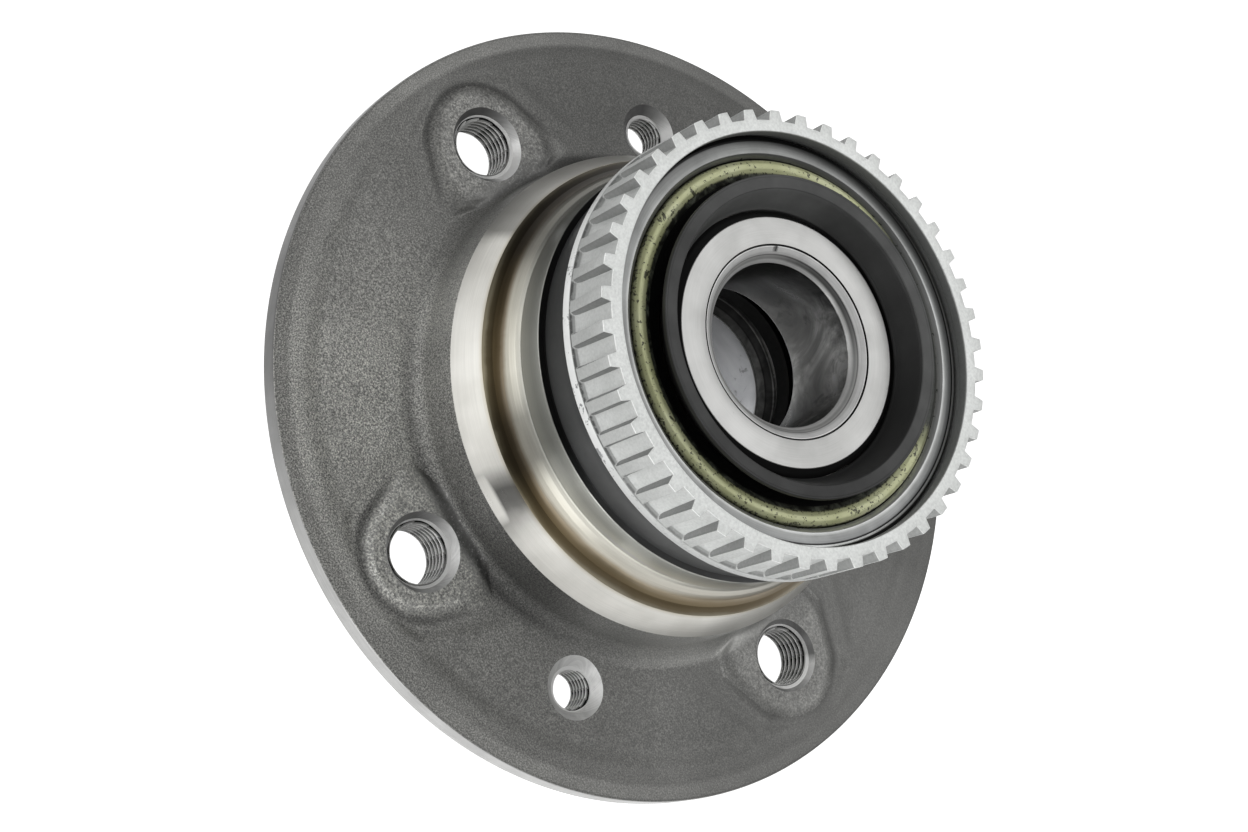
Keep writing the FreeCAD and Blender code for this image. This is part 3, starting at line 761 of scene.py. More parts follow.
def rubber(name, tone=0.018, gloss=0.46, scale=900.0):
    s = Shader(name)
    grain = s.noise(scale, 3.0, 0.6)
    lines = s.noise(1.0, 2.0, 0.5, vector=s.turned_vector(3500.0, 1.5))
    dust = s.noise(150.0, 5.0, 0.6)
    colour = s.ramp(
        dust,
        [(0.3, (tone * 0.7,) * 3), (0.55, (tone,) * 3),
         (0.8, (tone * 1.9,) * 3)],
    )
    return s.set(
        colour=colour,
        metal=0.0,
        rough=s.span(dust, 0.3, 0.7, gloss + 0.1, gloss - 0.06),
        normal=s.bump(s.math("ADD", grain, lines), 0.22, 0.00005),
        specular=0.45,
    )


def lip_rubber(name, stops):
    """Moulded rubber with painted sheen and shade that change around the axle."""
    s = Shader(name)
    grain = s.noise(900.0, 3.0, 0.6)
    lines = s.noise(1.0, 2.0, 0.5, vector=s.turned_vector(3500.0, 1.5))
    dust = s.noise(150.0, 5.0, 0.6)
    tone = s.math("MULTIPLY", s.around(stops),
                  s.span(dust, 0.3, 0.75, 0.85, 1.25))
    colour = s.blend(1.0, (1.0, 1.02, 1.0), tone, "MULTIPLY")
    return s.set(
        colour=colour,
        metal=0.0,
        rough=s.span(dust, 0.3, 0.7, 0.55, 0.42),
        normal=s.bump(s.math("ADD", grain, lines), 0.22, 0.00005),
        specular=0.45,
    )


def rim_steel():
    # turned rim with painted light: grey on one side, brighter towards the other
    s = Shader("turned_rim")
    lines = s.noise(1.0, 3.0, 0.65, vector=s.turned_vector(3500.0, 2.5))
    cloud = s.noise(110.0, 5.0, 0.6, 0.3)
    x, y, z = s.xyz()
    side = s.math(
        "ADD", s.math("MULTIPLY", x, -12.35), s.math("MULTIPLY", y, 6.56)
    )
    tone = s.span(side, -0.25, 0.60, 0.11, 0.46, smooth=True)
    shade = s.math("MULTIPLY", tone, s.span(cloud, 0.3, 0.7, 0.85, 1.1))
    shade = s.math("MULTIPLY", shade, s.span(lines, 0.3, 0.7, 0.9, 1.08))
    colour = s.blend(1.0, (1.0, 1.0, 0.985), shade, "MULTIPLY")
    return s.set(
        colour=colour,
        metal=0.9,
        rough=s.span(cloud, 0.3, 0.7, 0.44, 0.34),
        normal=s.bump(lines, 0.3, 0.00003),
    )


def end_steel():
    # turned barrel end with a bright inner break and a fine dark line, under painted light and
    # shade
    s = Shader("barrel_end_steel")
    lines = s.noise(1.0, 3.0, 0.65, vector=s.turned_vector(4200.0, 2.5))
    cloud = s.noise(110.0, 5.0, 0.6, 0.3)
    nick = s.noise(900.0, 3.0, 0.65)
    r = s.radius()
    level = s.span(r, 0.0310, 0.0350)
    base = s.ramp(
        level,
        [(0.00, (0.02, 0.02, 0.02)), (0.07, (0.05, 0.05, 0.05)),
         (0.11, (0.60, 0.61, 0.60)), (0.30, (0.55, 0.56, 0.55)),
         (0.42, (0.27, 0.275, 0.27)), (0.72, (0.22, 0.225, 0.225)),
         (0.755, (0.02, 0.02, 0.02)), (0.80, (0.02, 0.02, 0.02)),
         (0.83, (0.60, 0.61, 0.60)), (0.90, (0.50, 0.51, 0.50)),
         (0.94, (0.06, 0.06, 0.06))],
    )
    upper = s.ramp(
        level,
        [(0.00, (0.02, 0.02, 0.02)), (0.07, (0.04, 0.04, 0.04)),
         (0.12, (0.30, 0.305, 0.30)), (0.34, (0.29, 0.295, 0.29)),
         (0.50, (0.22, 0.225, 0.22)), (0.78, (0.15, 0.152, 0.15)),
         (0.82, (0.015, 0.015, 0.015)), (1.0, (0.012, 0.012, 0.012))],
    )
    # painted shade: a darker copy of the profile on the upper side
    base = s.blend(s.around(
        [(-180, 0), (-110, 0), (-84, 0.5), (-60, 0.9), (-40, 1), (10, 1),
         (30, 0.6), (46, 0), (180, 0)]), base, upper)
    shade = s.math("MULTIPLY", s.span(cloud, 0.3, 0.7, 0.85, 1.12),
                   s.span(lines, 0.3, 0.7, 0.88, 1.08))
    # painted light and shade around the axle
    shade = s.math("MULTIPLY", shade, s.around(
        [(-180, 1.0), (-127, 1.05), (-80, 0.8), (-50, 0.75), (-28, 0.85),
         (0, 1.0), (60, 0.85), (110, 1.0), (150, 1.15), (180, 1.0)]
    ))
    colour = s.blend(1.0, base, shade, "MULTIPLY")
    mark = s.math("MULTIPLY", s.span(nick, 0.60, 0.64, 0.0, 0.85),
                  s.span(r, 0.03165, 0.03150))
    colour = s.blend(mark, colour, (0.02, 0.02, 0.02))
    return s.set(
        colour=colour,
        metal=0.8,
        rough=s.span(cloud, 0.3, 0.7, 0.42, 0.32),
        normal=s.bump(lines, 0.3, 0.00003),
    )


def ring_face():
    # light ground face with a few dark stains
    s = Shader("ring_face_steel")
    lines = s.noise(1.0, 3.0, 0.6, vector=s.turned_vector(8000.0, 2.0))
    cloud = s.noise(90.0, 4.0, 0.6)
    stain = s.noise(260.0, 4.0, 0.65, 0.5)
    base = s.ramp(
        cloud,
        [(0.3, (0.43, 0.43, 0.42)), (0.55, (0.475, 0.475, 0.465)),
         (0.75, (0.50, 0.50, 0.49))],
    )
    line = s.ramp(lines, [(0.3, (0.94, 0.94, 0.94)), (0.7, (1.04, 1.04, 1.04))])
    colour = s.blend(1.0, base, line, "MULTIPLY")
    mark = s.span(stain, 0.68, 0.73, 0.0, 0.5)
    colour = s.blend(mark, colour, (0.20, 0.20, 0.20))
    return s.set(
        colour=colour,
        metal=0.8,
        rough=s.span(cloud, 0.3, 0.7, 0.42, 0.32),
        normal=s.bump(lines, 0.12, 0.00002),
    )


def bore_steel(name="bore_steel", dark=1.0):
    # bore wall with storage stains and oil spots, under painted light and shade around the axle
    s = Shader(name)
    lines = s.noise(1.0, 3.0, 0.6, vector=s.turned_vector(4500.0, 2.0))
    cloud = s.noise(75.0, 5.0, 0.62, 0.8)
    blot = s.noise(260.0, 4.0, 0.6, 0.8)
    base = s.ramp(
        cloud,
        [(0.25, (0.05 * dark, 0.05 * dark, 0.049 * dark)),
         (0.5, (0.18 * dark, 0.18 * dark, 0.176 * dark)),
         (0.75, (0.46 * dark, 0.46 * dark, 0.45 * dark))],
    )
    mark = s.span(blot, 0.55, 0.72, 0.0, 0.65)
    colour = s.blend(mark, base, (0.05, 0.05, 0.048))
    shade = s.around(
        [(-180, 1.2), (-140, 1.4), (-110, 1.0), (-84, 0.6), (-60, 0.42),
         (-20, 0.26), (20, 0.26), (50, 0.5), (90, 0.9), (180, 1.2)]
    )
    # painted light as a pale mottled patch near the mouth on one side; further in, the painted
    # light is doubled
    z = s.height()
    mouth = s.math("MULTIPLY", s.span(z, 0.0440, 0.0500, smooth=True), s.around(
        [(-180, 0.6), (-165, 1), (-120, 1), (-100, 0.3), (-80, 0), (120, 0),
         (150, 0.3), (180, 0.6)]))
    mouth = s.math("MULTIPLY", mouth, s.span(cloud, 0.40, 0.60, 0.2, 2.4))
    shade = s.math("ADD", shade, mouth)
    deep = s.span(z, 0.0265, 0.0275, 2.0, 1.0)
    shade = s.math("MULTIPLY", shade, deep)
    # the far ring is evenly grey with a few oil spots
    far = s.blend(s.span(blot, 0.60, 0.66, 0.0, 0.7), (0.155, 0.158, 0.166),
                  (0.03, 0.03, 0.03))
    colour = s.blend(s.span(z, 0.0262, 0.0266, 0.85, 0.0), colour, far)
    colour = s.blend(1.0, colour, shade, "MULTIPLY")
    return s.set(
        colour=colour,
        metal=0.85,
        rough=s.span(cloud, 0.3, 0.7, 0.40, 0.26),
        normal=s.bump(lines, 0.2, 0.00003),
    )


NICK = -29.0


def lead_steel():
    # rounded lead-in: light outer band, fine line, soft inner roll
    s = Shader("lead_in_steel")
    lines = s.noise(1.0, 3.0, 0.6, vector=s.turned_vector(7000.0, 2.5))
    cloud = s.noise(160.0, 4.0, 0.6, 0.6)
    nick = s.noise(1500.0, 3.0, 0.6)
    r = s.radius()
    level = s.span(r, 0.0140, 0.0165)
    base = s.ramp(
        level,
        [(0.00, (0.30, 0.30, 0.295)), (0.06, (0.72, 0.72, 0.71)),
         (0.20, (0.60, 0.60, 0.59)), (0.30, (0.36, 0.36, 0.355)),
         (0.36, (0.42, 0.42, 0.41)), (0.42, (0.52, 0.52, 0.51)),
         (0.48, (0.20, 0.20, 0.20)), (0.53, (0.78, 0.78, 0.77)),
         (0.80, (0.86, 0.86, 0.85)), (1.00, (0.70, 0.70, 0.69))],
    )
    # one side of the roll lies in shade
    roll = s.around(
        [(-180, 1.0), (-150, 1.05), (-127, 0.9), (-110, 0.5), (-90, 0.26),
         (-60, 0.30), (-42, 0.62), (-20, 0.95), (20, 1.15), (53, 1.3),
         (120, 1.1), (180, 1.0)],
        s.math("MULTIPLY_ADD", cloud, 0.03, -0.015),
    )
    band = s.math(
        "MULTIPLY", s.span(level, 0.16, 0.28), s.span(level, 0.50, 0.56, 1.0, 0.0)
    )
    shade = s.math("MULTIPLY_ADD", s.math("SUBTRACT", roll, 1.0), band, 1.0)
    shade = s.math("MULTIPLY", shade, s.span(cloud, 0.3, 0.7, 0.82, 1.10))
    shade = s.math("MULTIPLY", shade, s.span(lines, 0.3, 0.7, 0.90, 1.05))
    colour = s.blend(1.0, base, shade, "MULTIPLY")
    # one small nick at the outer band
    mark = s.math("MULTIPLY", s.around(
        [(-180, 0), (NICK - 1.6, 0), (NICK - 0.6, 1), (NICK + 0.6, 1),
         (NICK + 1.6, 0), (180, 0)],
        s.math("MULTIPLY_ADD", nick, 0.008, -0.004)),
        s.span(level, 0.60, 0.68))
    colour = s.blend(mark, colour, (0.03, 0.03, 0.03))
    return s.set(
        colour=colour,
        metal=0.35,
        rough=s.span(cloud, 0.3, 0.7, 0.48, 0.36),
        normal=s.bump(lines, 0.15, 0.00003),
    )


def seat_steel():
    # inner end of a ring: mottled break, dull face, light corner, under painted light and shade
    # around the axle
    s = Shader("ring_seat_steel")
    blot = s.noise(300.0, 4.0, 0.65, 0.6)
    lines = s.noise(1.0, 3.0, 0.6, vector=s.turned_vector(6000.0, 2.0))
    level = s.span(s.radius(), 0.0140, 0.0168)
    base = s.ramp(
        level,
        [(0.00, (0.03, 0.03, 0.03)), (0.06, (0.04, 0.04, 0.04)),
         (0.10, (0.26, 0.26, 0.255)), (0.44, (0.20, 0.20, 0.196)),
         (0.50, (0.03, 0.03, 0.03)), (0.58, (0.075, 0.075, 0.074)),
         (0.88, (0.055, 0.055, 0.054)), (0.93, (0.36, 0.36, 0.355)),
         (1.00, (0.20, 0.20, 0.20))],
    )
    shade = s.math("MULTIPLY", s.span(blot, 0.35, 0.65, 0.55, 1.35), s.around(
        [(-180, 1.2), (-140, 1.3), (-90, 0.9), (-50, 0.45), (0, 0.3),
         (40, 0.5), (110, 0.9), (180, 1.2)]))
    colour = s.blend(1.0, base, shade, "MULTIPLY")
    return s.set(
        colour=colour,
        metal=0.7,
        rough=s.span(blot, 0.3, 0.7, 0.46, 0.34),
        normal=s.bump(lines, 0.25, 0.00003),
    )


def hole_steel(name, deg, stops, tone=0.50, metal=0.3, rough=0.42):
    """Turned steel with painted light and shade that change around one hole of the face."""
    s = Shader(name)
    lines = s.noise(1.0, 3.0, 0.6, vector=s.turned_vector(5000.0, 2.5))
    cloud = s.noise(260.0, 4.0, 0.6, 0.4)
    t = math.radians(deg)
    place = s.turn_about(0.054 * math.cos(t), 0.054 * math.sin(t))
    shade = s.around(stops, s.math("MULTIPLY_ADD", cloud, 0.06, -0.03), place)
    shade = s.math("MULTIPLY", shade, s.span(cloud, 0.3, 0.7, 0.82 * tone,
                                             1.12 * tone))
    shade = s.math("MULTIPLY", shade, s.span(lines, 0.3, 0.7, 0.88, 1.08))
    shade = s.math("MINIMUM", shade, 0.95)
    colour = s.blend(1.0, (1.0, 1.0, 0.985), shade, "MULTIPLY")
    return s.set(
        colour=colour,
        metal=metal,
        rough=s.span(cloud, 0.3, 0.7, rough + 0.06, rough - 0.04),
        normal=s.bump(lines, 0.25, 0.00003),
    )


def polished_ball():
    s = Shader("ball_steel")
    cloud = s.noise(300.0, 3.0, 0.5)
    colour = s.ramp(
        cloud, [(0.3, (0.66, 0.66, 0.65)), (0.7, (0.78, 0.78, 0.77))]
    )
    return s.set(
        colour=colour,
        metal=1.0,
        rough=s.span(cloud, 0.3, 0.7, 0.10, 0.06),
        normal=s.bump(cloud, 0.05, 0.00002),
    )


def cage_plastic():
    s = Shader("cage_plastic")
    grain = s.noise(1100.0, 3.0, 0.6)
    cloud = s.noise(120.0, 4.0, 0.5)
    colour = s.ramp(
        cloud,
        [(0.3, (0.56, 0.47, 0.30)), (0.6, (0.66, 0.57, 0.38)),
         (0.8, (0.72, 0.64, 0.45))],
    )
    return s.set(
        colour=colour,
        rough=s.span(grain, 0.3, 0.7, 0.52, 0.42),
        normal=s.bump(grain, 0.2, 0.00004),
    )


def dark_plastic():
    s = Shader("clip_plastic")
    grain = s.noise(1100.0, 3.0, 0.6)
    cloud = s.noise(150.0, 4.0, 0.5)
    colour = s.ramp(
        cloud, [(0.3, (0.005,) * 3), (0.7, (0.012,) * 3)]
    )
    return s.set(
        colour=colour,
        rough=s.span(grain, 0.3, 0.7, 0.80, 0.68),
        normal=s.bump(grain, 0.2, 0.00004),
        specular=0.15,
    )


M_FORGED = forged_steel()
M_SHOULDER = ground_shoulder()
M_NECK = tinted_neck()
M_BAND = dark_band()
M_PAD = pad_steel()
M_RIM = rim_steel()
M_END = end_steel()
HOLES = [0.0, 90.0, 180.0, 270.0, -40.0, 130.0]
# painted light and shade around each hole, one list per hole; the thread crests take them too
HOLE_STOPS = [
    [(-180, 2.2), (-150, 2.9), (-125, 2.6), (-100, 1.3), (-72, 0.5),
     (-28, 0.22), (20, 0.25), (60, 0.5), (120, 0.55), (150, 0.42), (180, 2.2)],
    [(-180, 1.6), (-150, 1.9), (-115, 1.7), (-90, 1.1), (-60, 0.66),
     (-28, 0.45), (20, 0.5), (60, 0.6), (130, 0.6), (180, 1.6)],
    [(-180, 1.2), (-160, 2.0), (-138, 2.2), (-118, 0.40), (-80, 0.25),
     (-28, 0.55), (20, 0.5), (60, 0.6), (130, 0.6), (180, 1.2)],
    [(-180, 1.0), (180, 1.0)],
    [(-180, 2.8), (-150, 2.9), (-120, 2.5), (-90, 1.6), (-60, 0.75),
     (-28, 0.30), (20, 0.28), (60, 0.4), (120, 0.9), (150, 1.5), (180, 2.8)],
    [(-180, 1.7), (-150, 2.0), (-120, 2.1), (-80, 1.8), (-28, 1.7),
     (20, 1.5), (60, 1.3), (130, 1.3), (180, 1.7)],
]
M_HOLES = [
    hole_steel("hole_chamfer_%d" % (i + 1), HOLES[i], HOLE_STOPS[i])
    for i in range(6)
]
M_THREADS = [
    hole_steel("thread_crest_%d" % (i + 1), HOLES[i],
               [(a, 0.75 + 0.5 * v) for a, v in HOLE_STOPS[i]], 0.80, 0.2, 0.36)
    for i in range(6)
]
# lit and shaded copies for the threads: the flank steel is the lit copy, the near-black groove
# steel is painted shade in grooves
M_FLANK = turned_steel("thread_flank_steel", (0.40, 0.40, 0.39), 0.36, 6000.0, 0.2)
M_GROOVE = turned_steel("thread_groove_steel", (0.030, 0.030, 0.030), 0.45, 6000.0, 0.2)
# painted shade: black in the recess under the funnel lip, at the ring's outer corner
M_RECESS_SHADE = rubber("recess_shade_black", 0.010, 0.30, 500.0)
M_WHEEL_FACE = turned_steel("wheel_face_steel", (0.46, 0.46, 0.45), 0.34, 2600.0, 0.5, 0.0, 0.00005)
M_INSIDE = turned_steel("inner_seat_steel", (0.055, 0.055, 0.052), 0.42, 5000.0, 0.25)
M_TONE = tone_steel()
# shaded copy of the tone ring steel for the slot side walls: painted shade, with its own lightness
# around the axle
M_TONE_WALL = tone_steel("tone_slot_wall_steel", [
    (-180, 0.45), (-120, 0.34), (-28, 0.30), (0, 0.27), (60, 0.24),
    (90, 0.25), (120, 0.30), (150, 0.34), (180, 0.45)])
M_CASE = passivated()
M_LIP = lip_rubber("lip_rubber", [
    (-180, 0.022), (-127, 0.013), (-80, 0.022), (-60, 0.050), (-45, 0.105),
    (-28, 0.125), (0, 0.110), (20, 0.060), (60, 0.020), (110, 0.024),
    (150, 0.032), (180, 0.022)])
M_LIP_EDGE = lip_rubber("lip_edge_rubber", [
    (-180, 0.030), (-150, 0.060), (-127, 0.085), (-80, 0.075), (-60, 0.055),
    (-45, 0.060), (-28, 0.065), (0, 0.060), (20, 0.046), (40, 0.038),
    (60, 0.038), (110, 0.026), (150, 0.018), (180, 0.030)])
M_SEAL = rubber("seal_rubber", 0.010, 0.5)
M_FACE = ring_face()
M_BORE = bore_steel()
M_LEAD = lead_steel()
M_SEAT = seat_steel()
M_BREAK = turned_steel("ring_break_steel", (0.58, 0.58, 0.575), 0.45, 7000.0,
                       0.2, 0.2, 0.00003, 0.3)
M_LAND = turned_steel("ring_land_steel", (0.42, 0.42, 0.41), 0.25, 7000.0, 0.2)
M_BALL = polished_ball()
M_CAGE = cage_plastic()
M_CLIP = dark_plastic()
M_SLINGER = turned_steel("slinger_steel", (0.40, 0.39, 0.36), 0.34, 4000.0, 0.25)


# ------------------------------------------------------------ meshes
def rounded(points):
    """A closed section whose corners carry radii: (r, z[, radius[, steps]])."""
    out = []
    count = len(points)
    for i, point in enumerate(points):
        p = np.array(point[:2], float)
        if len(point) < 3 or point[2] <= 0:
            out.append(tuple(p))
            continue
        steps = point[3] if len(point) > 3 else 4
        a = np.array(points[i - 1][:2], float)
        b = np.array(points[(i + 1) % count][:2], float)
        u, v = a - p, b - p
        la, lb = np.linalg.norm(u), np.linalg.norm(v)
        u, v = u / la, v / lb
        half = math.acos(max(-1.0, min(1.0, float(u @ v)))) / 2
        if half > math.pi / 2 - 0.01:
            out.append(tuple(p))
            continue
        reach = point[2] / math.tan(half)
        limit = 0.48 * min(la, lb)
        radius = point[2] if reach <= limit else limit * math.tan(half)
        reach = min(reach, limit)
        centre = p + (u + v) / np.linalg.norm(u + v) * radius / math.sin(half)
        first, last = p + u * reach, p + v * reach
        a0 = math.atan2(*(first - centre)[::-1])
        a1 = math.atan2(*(last - centre)[::-1])
        turn = (a1 - a0 + math.pi) % (2 * math.pi) - math.pi
        for k in range(steps + 1):
            t = a0 + turn * k / steps
            out.append(
                (
                    centre[0] + radius * math.cos(t),
                    centre[1] + radius * math.sin(t),
                )
            )
    return out


def divide(section, longest):
    """Splits the long runs of a closed section."""
    out = []
    count = len(section)
    for i in range(count):
        a, b = np.array(section[i]), np.array(section[(i + 1) % count])
        n = max(1, int(math.ceil(np.linalg.norm(b - a) / longest)))
        out += [tuple(a + (b - a) * k / n) for k in range(n)]
    return out


def object_from(name, verts, faces, materials, pick=None, angle=32.0):
    mesh = bpy.data.meshes.new(name)
    mesh.from_pydata([tuple(v) for v in verts], [], faces)
    mesh.validate()
    for material in materials:
        mesh.materials.append(material)
    obj = bpy.data.objects.new(name, mesh)
    bpy.context.collection.objects.link(obj)
    fix_normals(mesh)
    finish_mesh(mesh, pick, angle)
    return obj


def fix_normals(mesh):
    bm = bmesh.new()
    bm.from_mesh(mesh)
    bmesh.ops.recalc_face_normals(bm, faces=bm.faces)
    bm.to_mesh(mesh)
    bm.free()


def finish_mesh(mesh, pick=None, angle=32.0):
    count = len(mesh.polygons)
    mesh.polygons.foreach_set("use_smooth", [True] * count)
    mesh.set_sharp_from_angle(angle=math.radians(angle))
    if pick is not None:
        centres = np.empty(count * 3, np.float32)
        normals = np.empty(count * 3, np.float32)
        mesh.polygons.foreach_get("center", centres)
        mesh.polygons.foreach_get("normal", normals)
        index = pick(
            centres.reshape(-1, 3) / MM, normals.reshape(-1, 3)
        ).astype(np.int32)
        mesh.polygons.foreach_set("material_index", index)
    mesh.update()


def ring_faces(rows, columns):
    faces = []
    for i in range(rows):
        ni = (i + 1) % rows
        for j in range(columns):
            nj = (j + 1) % columns
            faces.append(
                (
                    i * columns + j,
                    i * columns + nj,
                    ni * columns + nj,
                    ni * columns + j,
                )
            )
    return faces


def lathe(name, section, materials, pick=None, turns=360, angles=None, lift=None,
          angle=32.0):
    """Turns a closed section (mm) about the axle; lift adds height to a grid."""
    if angles is None:
        angles = np.linspace(0, 2 * np.pi, turns, endpoint=False)
    section = np.array(section)
    r = section[:, 0][:, None]
    z = np.repeat(section[:, 1][:, None], len(angles), axis=1)
    x = r * np.cos(angles)[None, :]
    y = r * np.sin(angles)[None, :]
    if lift is not None:
        z = lift(x, y, z)
    verts = np.stack([x, y, z], axis=-1).reshape(-1, 3) * MM
    return object_from(
        name, verts, ring_faces(len(section), len(angles)), materials, pick,
        angle,
    )


def dress(node, *materials):
    """Gives a kept CAD node its finish."""
    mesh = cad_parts[node].data
    mesh.materials.clear()
    for material in materials:
        mesh.materials.append(material)


# --------------------------------------------------------------- the hub
BOLT_R = 54.0
BOLTS = [0.0, 90.0, 180.0, 270.0]
SCREWS = [-40.0, 130.0]


def capsule(px, py, length, r1, r2):
    # distance to a drop shape from the origin (r1) to length (r2) along +y
    px = np.abs(px)
    b = (r1 - r2) / length
    a = math.sqrt(1.0 - b * b)
    k = -b * px + a * py
    out = a * px + b * py - r1
    out = np.where(k < 0, np.hypot(px, py) - r1, out)
    return np.where(k > a * length, np.hypot(px, py - length) - r2, out)


def smooth(t):
    t = np.clip(t, 0.0, 1.0)
    return t * t * (3 - 2 * t)


def pad_fields(x, y):
    """Signed distances (mm) to the nearest forged pad and to its hole."""
    near = np.full(np.shape(x), 99.0)
    hole = np.full(np.shape(x), 99.0)
    for k, deg in enumerate(BOLTS):
        t = math.radians(deg)
        u = BOLT_R - (x * math.cos(t) + y * math.sin(t))
        v = -x * math.sin(t) + y * math.cos(t)
        shape = None
        for sign in (-1, 1):
            lean = math.radians(64.0) * sign
            py = u * math.cos(lean) + v * math.sin(lean)
            px = -u * math.sin(lean) + v * math.cos(lean)
            d = capsule(px, py, 14.6, 10.5, 0.5)
            shape = d if shape is None else np.minimum(shape, d)
        shape = np.minimum(shape, np.hypot(u, v) - 7.6)
        near = np.minimum(near, shape)
        hole = np.minimum(hole, np.hypot(u, v))
    return near, hole


def pad_height(x, y):
    """Height of the forged pads above the flange face (mm)."""
    near, hole = pad_fields(x, y)
    top = 1.32 * smooth((2.1 - near) / 3.6)
    # the two horns of a pad run down into the face
    top = top * (1.0 - 0.72 * smooth((hole - 10.2) / 6.2))
    top = top * np.where((x < -30) & (hole < 26), 0.72, 1.0)
    # shallow moat and a low outer swell around each pad
    moat = -0.10 * np.exp(-(((near - 2.6) / 1.1) ** 2))
    swell = 0.20 * np.exp(-(((near - 4.6) / 1.4) ** 2))
    outer = smooth((np.hypot(x, y) - 49.5) / 2.5) * (
        1 - smooth((np.hypot(x, y) - 63.5) / 3.0)
    )
    return top + (moat + swell) * outer


def forging_wave(x, y):
    # slow unevenness of the forged face
    return (
        0.050 * np.sin(x * 0.21 + 1.0) * np.cos(y * 0.17 - 0.4)
        + 0.030 * np.sin(x * 0.43 - y * 0.31)
        + 0.022 * np.cos(x * 0.75 + y * 0.62 + 0.8)
    )


def lift_face(x, y, z):
    r = np.hypot(x, y)
    pads = pad_height(x, y)
    floor_ = 8.5 + 0.7 * smooth((r - 62.2) / 4.6)
    on = (z > 8.0) & (z < 16.0) & (r > 43.5) & (r < 67.2)
    top = floor_ + pads
    # soft meeting of pad and rising fillet
    soft = 1.1 * smooth(pads / 0.6) * smooth((50.5 - r) / 3.5)
    meet = 0.5 * (z + top + np.sqrt((z - top) ** 2 + soft ** 2))
    raised = np.where(r > 50.5, top, np.maximum(meet, np.maximum(z, top)))
    wave = forging_wave(x, y) * smooth((r - 44.0) / 2.5) * smooth((67.0 - r) / 2.0)
    lifted = raised + wave
    lifted = np.where((z < 9.9) & (r > 49.0), np.minimum(lifted, 9.95), lifted)
    low = np.where(on, lifted, z)
    return np.where(z > 16, z, low)


def hub_section():
    face = [(67.0 - k * 0.33, 8.5) for k in range(0, 47)]
    face = [p for p in face if 51.6 < p[0]]
    top = [
        (32.5, -10.0, 1.0, 5),
        (32.5, -0.45),
        (32.1, -0.2, 0.15, 2),
        (32.6, 0.0, 0.15, 2),
        (66.2, 0.0, 0.5, 4),
        (71.5, 5.3, 0.45, 4),
        (71.5, 9.2, 0.55, 5),
        (67.3, 9.2),
    ]
    top += face
    top += [
        (44.7, 8.5, 5.2, 26),
        (43.95, 19.25, 0.25, 3),
        (41.15, 25.0, 0.25, 3),
        (39.75, 26.25, 0.6, 3),
        (38.85, 27.55, 0.8, 3),
        (38.3, 29.1, 0.8, 3),
        (37.65, 30.2, 0.6, 3),
        (37.3, 31.3, 0.8, 3),
        (37.3, 36.95, 0.15, 3),
        (36.2, 37.15, 0.1, 2),
        (36.2, 37.6, 0.1, 2),
        (36.45, 37.9, 0.15, 2),
        (36.4, 46.85, 0.3, 3),
        (35.55, 47.0),
        (35.55, 55.0, 0.3, 3),
        (34.65, 56.1, 0.25, 3),
        (32.15, 56.1, 0.25, 3),
        (31.32, 55.3, 0.2, 2),
        (31.32, 49.5),
        (29.4, 49.5),
        (29.4, 45.4),
    ]
    # inboard ball groove, land, outboard ball groove
    for row, lo, hi in ((42.0, 29.4, 28.4), (22.0, 28.4, 28.4)):
        a0 = math.acos((lo - 26.0) / 4.85)
        a1 = -math.acos((hi - 26.0) / 4.85)
        for k in range(13):
            t = a0 + (a1 - a0) * k / 12
            top.append((26.0 + 4.85 * math.cos(t), row + 4.85 * math.sin(t)))
    top += [
        (28.4, 15.5, 0.2, 2),
        (29.0, 15.5),
        (29.0, 8.0, 0.15, 2),
        (29.5, 8.0),
        (29.5, -9.3, 0.3, 2),
        (30.2, -10.0, 0.2, 2),
    ]
    return divide(rounded(top), 4.0)


def hub_angles():
    edges = []
    fine = [(d, 16.5, 0.26) for d in BOLTS] + [(d, 8.5, 0.36) for d in SCREWS]
    marks = np.zeros(3600)
    marks[:] = 0.85
    grid = np.arange(3600) * 0.1
    for centre, reach, step in fine:
        d = np.abs((grid - centre + 180) % 360 - 180)
        marks = np.where(d < reach, np.minimum(marks, step), marks)
    t = 0.0
    while t < 360.0 - 0.05:
        edges.append(t)
        t += marks[int(t * 10) % 3600]
    return np.radians(np.array(edges))


def drum(cx_, cy_, section, segments):
    """Closed cutter about a vertical axis: rings of (radius, z), capped."""
    verts, faces = [], []
    for r, z in section:
        for k in range(segments):
            t = 2 * math.pi * k / segments
            verts.append((cx_ + r * math.cos(t), cy_ + r * math.sin(t), z))
    for i in range(len(section) - 1):
        for k in range(segments):
            n = (k + 1) % segments
            a = i * segments
            faces.append((a + k, a + n, a + segments + n, a + segments + k))
    faces.append(tuple(range(segments))[::-1])
    last = (len(section) - 1) * segments
    faces.append(tuple(range(last, last + segments)))
    return verts, faces


